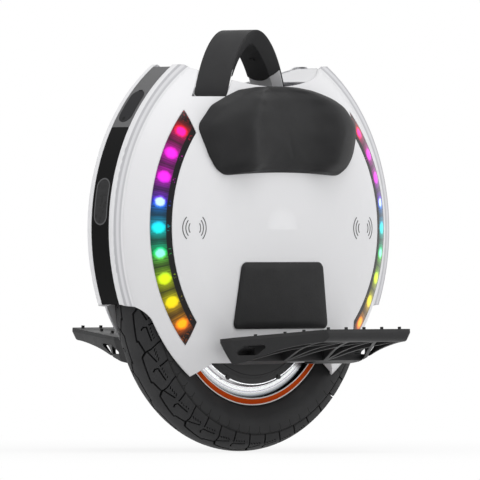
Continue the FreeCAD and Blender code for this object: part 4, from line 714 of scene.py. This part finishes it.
# Leg pads: moulded foam with a ridge near each end and a saddle between, laid on the shell;
# "outline", "slopes" and "stands" give, by height, the half length, how straight the flank runs and the
# ridge's rise
legPadSizes = {"middle": 443.0, "sag": 385.5, "foot": 4.5, "half": 83.0, "ridge": 37.0, "saddle": 19.0,
               "edge": 4.0, "ridgeShare": 0.57, "soften": 2.4, "round": 7.0, "gap": 0.3, "weld": 0.02,
               "segments": 44, "farthest": 190.0, "guesses": 24,
               "start": 1.5, "pressure": 4.0, "cap": 5.0, "frames": 20,
               "outline": ((381.0, 108.0), (383.5, 115.0), (390.5, 126.0), (409.0, 138.5), (434.0, 147.3),
                           (446.0, 149.8), (452.0, 148.0), (478.0, 122.5), (491.0, 94.0), (499.5, 71.0),
                           (503.6, 40.0), (504.6, 18.0)),
               "slopes": ((440.0, 0.5), (480.0, 0.05), (504.6, 0.05)),
               "stands": ((381.0, 8.0), (397.0, 29.0), (439.5, 37.0), (467.5, 33.0),
                          (488.0, 22.0), (504.6, -3.0))}


def onRows(rows, z):  # straight between the rows
    for (low, lowValue), (high, highValue) in zip(rows, rows[1:]):
        if z <= high:
            return between(lowValue, highValue, max(z - low, 0.0) / (high - low))
    return rows[-1][1]


def padFace(sizes, x, z):  # millimetres in and out, the cover's depth over the middle plane
    half = onRows(sizes["outline"], z)
    ridge = sizes["half"] + onRows(sizes["stands"], z)
    saddle = (sizes["half"] + sizes["saddle"]) * ridge / (sizes["half"] + sizes["ridge"])
    crest = sizes["ridgeShare"] * half
    reach = abs(x)
    if reach < crest:
        return between(saddle, ridge, (reach / crest) ** 3)
    end = shellFace(half * mm, z * mm) / mm + sizes["edge"]
    share = min((reach - crest) / (half - crest), 1.0)
    return between(ridge, end, between(1 - math.sqrt(1 - share ** 2), share, onRows(sizes["slopes"], z)))


def padCover(sizes, x, z):  # the cover's depth with its ridges softened, always a little off the shell
    moves = (-sizes["soften"], 0.0, sizes["soften"])
    depths = [padFace(sizes, x + along, z + up) for along in moves for up in moves]
    return max(sum(depths) / len(depths), shellFace(x * mm, z * mm) / mm + sizes["edge"])


def padReach(sizes, turn):  # how far the pad runs from its middle in that direction
    near, far = 0.0, sizes["farthest"]
    for guess in range(sizes["guesses"]):
        reach = (near + far) / 2
        x, z = reach * math.cos(turn), sizes["middle"] + reach * math.sin(turn)
        foot = sizes["sag"] - sizes["foot"] * (x / sizes["outline"][0][1]) ** 2
        if foot <= z <= sizes["outline"][-1][0] and abs(x) <= onRows(sizes["outline"], z):
            near = reach
        else:
            far = reach
    return near


def applyModifiers(piece):
    bpy.context.view_layer.update()
    made = bpy.data.meshes.new_from_object(piece.evaluated_get(bpy.context.evaluated_depsgraph_get()))
    piece.modifiers.clear()
    old = piece.data
    piece.data = made
    bpy.data.meshes.remove(old)


def makeLegPad(sizes, node, name, side):
    # a square grid drawn out to the pad's outline, closer towards the edge
    bm = bmesh.new()
    bmesh.ops.create_grid(bm, x_segments=sizes["segments"], y_segments=sizes["segments"], size=1.0)
    plain = {}
    for vert in bm.verts:
        a, b = vert.co.x, vert.co.y
        ring = max(abs(a), abs(b))
        turn = 0.0
        if ring > 0:  # even steps round the outline
            turn = math.pi / 4 * (b / a if abs(a) >= abs(b) else 2 - a / b)
            turn += math.pi if (a if abs(a) >= abs(b) else b) < 0 else 0
        reach = padReach(sizes, turn)
        place = reach * math.sin(ring * math.pi / 2)
        vert.co = (place * math.cos(turn) * mm, 0, (sizes["middle"] + place * math.sin(turn)) * mm)
        plain[vert.index] = reach - place
    front = bmesh.ops.extrude_face_region(bm, geom=bm.faces[:])["geom"]
    front = [g for g in front if isinstance(g, bmesh.types.BMVert)]
    bm.verts.ensure_lookup_table()
    lay = {(round(v.co.x, 6), round(v.co.z, 6)): plain[v.index] for v in bm.verts if v.index in plain}
    upper = set(front)
    loose = set()
    for vert in bm.verts:
        rest = shellFace(vert.co.x, vert.co.z) / mm + sizes["gap"]
        depth = rest
        edge = lay[(round(vert.co.x, 6), round(vert.co.z, 6))]
        if vert in upper:
            curl = max(sizes["round"] - edge, 0.0)
            swell = math.sqrt(1 - (curl / sizes["round"]) ** 2)
            depth = between(rest, padCover(sizes, vert.co.x / mm, vert.co.z / mm), swell)
        if vert in upper and edge >= sizes["round"]:
            loose.add(vert)
        vert.co.y = side * depth * mm
    bmesh.ops.remove_doubles(bm, verts=bm.verts[:], dist=sizes["weld"] * mm)
    bmesh.ops.recalc_face_normals(bm, faces=bm.faces[:])
    bm.verts.index_update()
    heldIndex = [v.index for v in bm.verts if v not in loose]
    for vert in loose:  # the cover swells, so it starts a little lower
        vert.co.y -= side * sizes["start"] * mm
    start = [v.co.copy() for v in bm.verts]
    pad = pieceFrom(bm, name, legLeather)
    pins = pad.vertex_groups.new(name="held")
    pins.add(heldIndex, 1.0, "REPLACE")
    cloth = pad.modifiers.new("cloth", "CLOTH")
    cloth.settings.use_pressure = True
    cloth.settings.uniform_pressure_force = sizes["pressure"]
    cloth.settings.vertex_group_mass = "held"
    cloth.settings.effector_weights.gravity = 0
    cloth.point_cache.frame_end = sizes["frames"]
    for turn in range(1, sizes["frames"] + 1):
        scene.frame_set(turn)
    applyModifiers(pad)
    scene.frame_set(1)
    longest = max((v.co - old).length for v, old in zip(pad.data.vertices, start))
    print(name, "swelled by at most", round(longest / mm, 2), "mm")
    for vert, old in zip(pad.data.vertices, start):
        move = vert.co - old
        if move.length > sizes["cap"] * mm:
            vert.co = old + move * (sizes["cap"] * mm / move.length)
    pad.vertex_groups.clear()
    for face in pad.data.polygons:
        face.use_smooth = True
    finer = pad.modifiers.new("finer", "SUBSURF")
    finer.levels = finer.render_levels = 1
    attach(pad, "chassis")
    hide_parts(node)


makeLegPad(legPadSizes, "upper_pad_left", "legPadLeft", 1)
makeLegPad(legPadSizes, "upper_pad_right", "legPadRight", -1)
print("leg pads made")


# Ankle pads: thin embossed pads with a rolled edge, laid on the shell
anklePadSizes = {"low": 170.0, "high": 262.0, "lowHalf": 92.0, "highHalf": 78.0, "corner": 9.0, "segments": 5,
                 "thick": 4.0, "gap": 0.2, "crown": 0.9, "cuts": 5,
                 "wall": 0.6, "roll": ((0.5, 0.75), (1.2, 0.93), (3.2, 1.0))}  # inset, share of thickness


def makeAnklePad(sizes, node, name, side):
    bm = bmesh.new()
    corners = [(-sizes["lowHalf"], sizes["low"]), (sizes["lowHalf"], sizes["low"]),
               (sizes["highHalf"], sizes["high"]), (-sizes["highHalf"], sizes["high"])]
    bm.faces.new([bm.verts.new((x * mm, 0, z * mm)) for x, z in corners])
    bmesh.ops.bevel(bm, geom=bm.verts[:], offset=sizes["corner"] * mm, offset_type="OFFSET",
                    affect="VERTICES", segments=sizes["segments"], profile=0.5, material=-1)
    rim = bmesh.ops.extrude_face_region(bm, geom=bm.faces[:])["geom"]
    top = [g for g in rim if isinstance(g, bmesh.types.BMFace)][0]
    for vert in top.verts:
        vert.co.y = sizes["wall"]
    for inset, rise in sizes["roll"]:
        bmesh.ops.inset_region(bm, faces=[top], thickness=inset * mm, use_even_offset=True)
        for vert in top.verts:
            vert.co.y = rise
    bmesh.ops.poke(bm, faces=[top])
    inner = [edge for edge in bm.edges if all(v.co.y >= 1.0 for v in edge.verts)]
    bmesh.ops.subdivide_edges(bm, edges=inner, cuts=sizes["cuts"], use_grid_fill=True)
    for vert in bm.verts:
        share = vert.co.y
        crown = sizes["crown"] * (1 - (vert.co.x / (sizes["lowHalf"] * mm)) ** 2) if share >= 1 else 0
        lift = sizes["gap"] + sizes["thick"] * max(share, 0) + max(crown, 0)
        vert.co.y = side * (shellFace(vert.co.x, vert.co.z) + lift * mm)
    bmesh.ops.recalc_face_normals(bm, faces=bm.faces[:])
    if bm.calc_volume(signed=True) < 0:  # so thin a pad can come out inside out
        bmesh.ops.reverse_faces(bm, faces=bm.faces[:])
    for face in bm.faces:
        face.smooth = True
    pad = pieceFrom(bm, name, ankleLeather)
    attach(pad, "chassis")
    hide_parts(node)


makeAnklePad(anklePadSizes, "lower_pad_left", "anklePadLeft", 1)
makeAnklePad(anklePadSizes, "lower_pad_right", "anklePadRight", -1)
print("ankle pads made")


# Finishes of the CAD nodes
finishes = {
    shellWhite: ["shell_left", "shell_right", "top_plate"],
    spineBlack: ["front_spine", "rear_spine"],
    panelGrey: ["front_top_panel", "rear_top_panel"],
    frameBlack: ["front_frame", "rear_frame", "handle_yoke", "charge_port", "power_button"],
    linerWhite: ["wheel_well"],
    pedalCoat: ["pedal_left", "pedal_right"],
    motorPaint: ["motor_cover_left", "motor_cover_right"],
    studOxide: ["pedal_studs_left", "pedal_studs_right", "motor_cover_screws"],
    zincSteel: ["hub_bearings", "axle", "axle_nuts", "hanger_bolts", "pedal_pins", "shell_screws"],
    hangerAlloy: ["pedal_hanger_left", "pedal_hanger_right"],
    sheetSteel: ["stator_core"],
    magnetNickel: ["rotor_magnets"],
    coilCopper: ["stator_windings"],
    boardGreen: ["lamp_boards", "led_boards"],
    batteryWrap: ["battery_packs"],
    sinkAlloy: ["control_board", "heat_sink"],
    fanPlastic: ["fan_frame", "fan_rotor", "speakers"],
    coverRubber: ["charge_cover"],
    leadSleeve: ["motor_lead"],
    tubeRubber: ["inner_tube", "valve_stem"],
    gripSoft: ["handle_grip", "release_button"],
    coreGrey: ["handle_core"],
    mastAlloy: ["handle_masts", "mast_sleeves"],
    rimPolish: ["rim", "rotor_ring"],
    ringVinyl: ["rim_stripes"],
    lampSmoke: ["headlight_lens", "tail_light_lens"],
    ledWindow: ["led_windows", "led_lamps"],
}
for material, names in finishes.items():
    for name in names:
        for slot in nodes[name].material_slots:
            slot.material = material
print("finishes set")


# Studio: pale floor, one large key from high on the left, fills from both sides, white surround
studioSizes = {"floor": 6.0, "squares": 8, "shadow": (0.2, 1.1), "paper": 0.86, "surround": 0.58,
               "aim": (0, 0, 0.2925), "far": 16.0, "field": 0.665, "azimuth": 135.0, "sensor": 36.0}
lampSet = {  # place, aim and size in metres, then watts
    "keyTop": ((0.5, 1.1, 2.8), (0, 0, 0.35), (1.8, 1.8), 28),
    "fillFront": ((2.4, -0.3, 1.0), (0, 0, 0.3), (0.9, 1.8), 9),
    "fillRear": ((-1.6, 2.2, 1.0), (0, 0, 0.3), (0.9, 1.8), 13)}


def inView(tree):  # 1 for what the camera sees, in a mirror or through glass too
    path = addNode(tree, "LightPath")
    seen = addNode(tree, "Math", {"operation": "MAXIMUM"}, {
        0: path.outputs["Is Camera Ray"], 1: path.outputs["Is Glossy Ray"]})
    return addNode(tree, "Math", {"operation": "MAXIMUM"}, {0: seen, 1: path.outputs["Is Transmission Ray"]})


def makeFloor(sizes):
    material = bpy.data.materials.new("paper_sweep_white")
    material.use_nodes = True
    tree = material.node_tree
    tree.nodes.clear()
    matt = addNode(tree, "BsdfDiffuse", None, {"Color": srgb("#F4F4F4")})
    lit = addNode(tree, "Emission", None, {"Color": srgb("#FFFFFF"), "Strength": 1.0})
    # the shadow stays under the object and the paper runs out to plain white
    place = addNode(tree, "TexCoord").outputs["Object"]
    away = addNode(tree, "VectorMath", {"operation": "LENGTH"}, {0: place})
    paper = addNode(tree, "MapRange", {"interpolation_type": "SMOOTHSTEP"}, {
        "Value": away.outputs["Value"], "From Min": sizes["shadow"][0], "From Max": sizes["shadow"][1],
        "To Min": sizes["paper"], "To Max": 1.0})
    share = addNode(tree, "Math", {"operation": "MULTIPLY"}, {0: inView(tree), 1: paper})
    mix = addNode(tree, "MixShader", None, {0: share, 1: matt, 2: lit})
    addNode(tree, "OutputMaterial", None, {"Surface": mix})
    bm = bmesh.new()
    bmesh.ops.create_grid(bm, x_segments=sizes["squares"], y_segments=sizes["squares"], size=sizes["floor"])
    pieceFrom(bm, "studioFloor", material)


def makeWorld(sizes):
    world = bpy.data.worlds.new("softSurround")
    scene.world = world
    world.use_nodes = True
    tree = world.node_tree
    tree.nodes.clear()
    power = addNode(tree, "MapRange", None, {
        "Value": inView(tree), "To Min": sizes["surround"], "To Max": 1.0})
    back = addNode(tree, "Background", None, {"Color": srgb("#FFFFFF"), "Strength": power})
    addNode(tree, "OutputWorld", None, {"Surface": back})


def addLamp(name, place, aim, size, watts):
    lamp = bpy.data.lights.new(name, "AREA")
    lamp.shape = "RECTANGLE"
    lamp.size, lamp.size_y = size
    lamp.energy = watts
    thing = bpy.data.objects.new(name, lamp)
    scene.collection.objects.link(thing)
    thing.location = place
    thing.rotation_euler = (Vector(aim) - Vector(place)).to_track_quat("-Z", "Y").to_euler()


def addCamera(sizes):
    turn = math.radians(sizes["azimuth"])
    back = Vector((math.sin(turn), -math.cos(turn), 0))
    camera = bpy.data.objects.new("camera", bpy.data.cameras.new("camera"))
    scene.collection.objects.link(camera)
    camera.location = Vector(sizes["aim"]) + back * sizes["far"]
    camera.rotation_euler = (-back).to_track_quat("-Z", "Y").to_euler()
    camera.data.sensor_width = sizes["sensor"]
    camera.data.lens = sizes["sensor"] * sizes["far"] / sizes["field"]
    scene.camera = camera


makeFloor(studioSizes)
makeWorld(studioSizes)
for name, settings in lampSet.items():
    addLamp(name, *settings)
addCamera(studioSizes)
print("studio set")
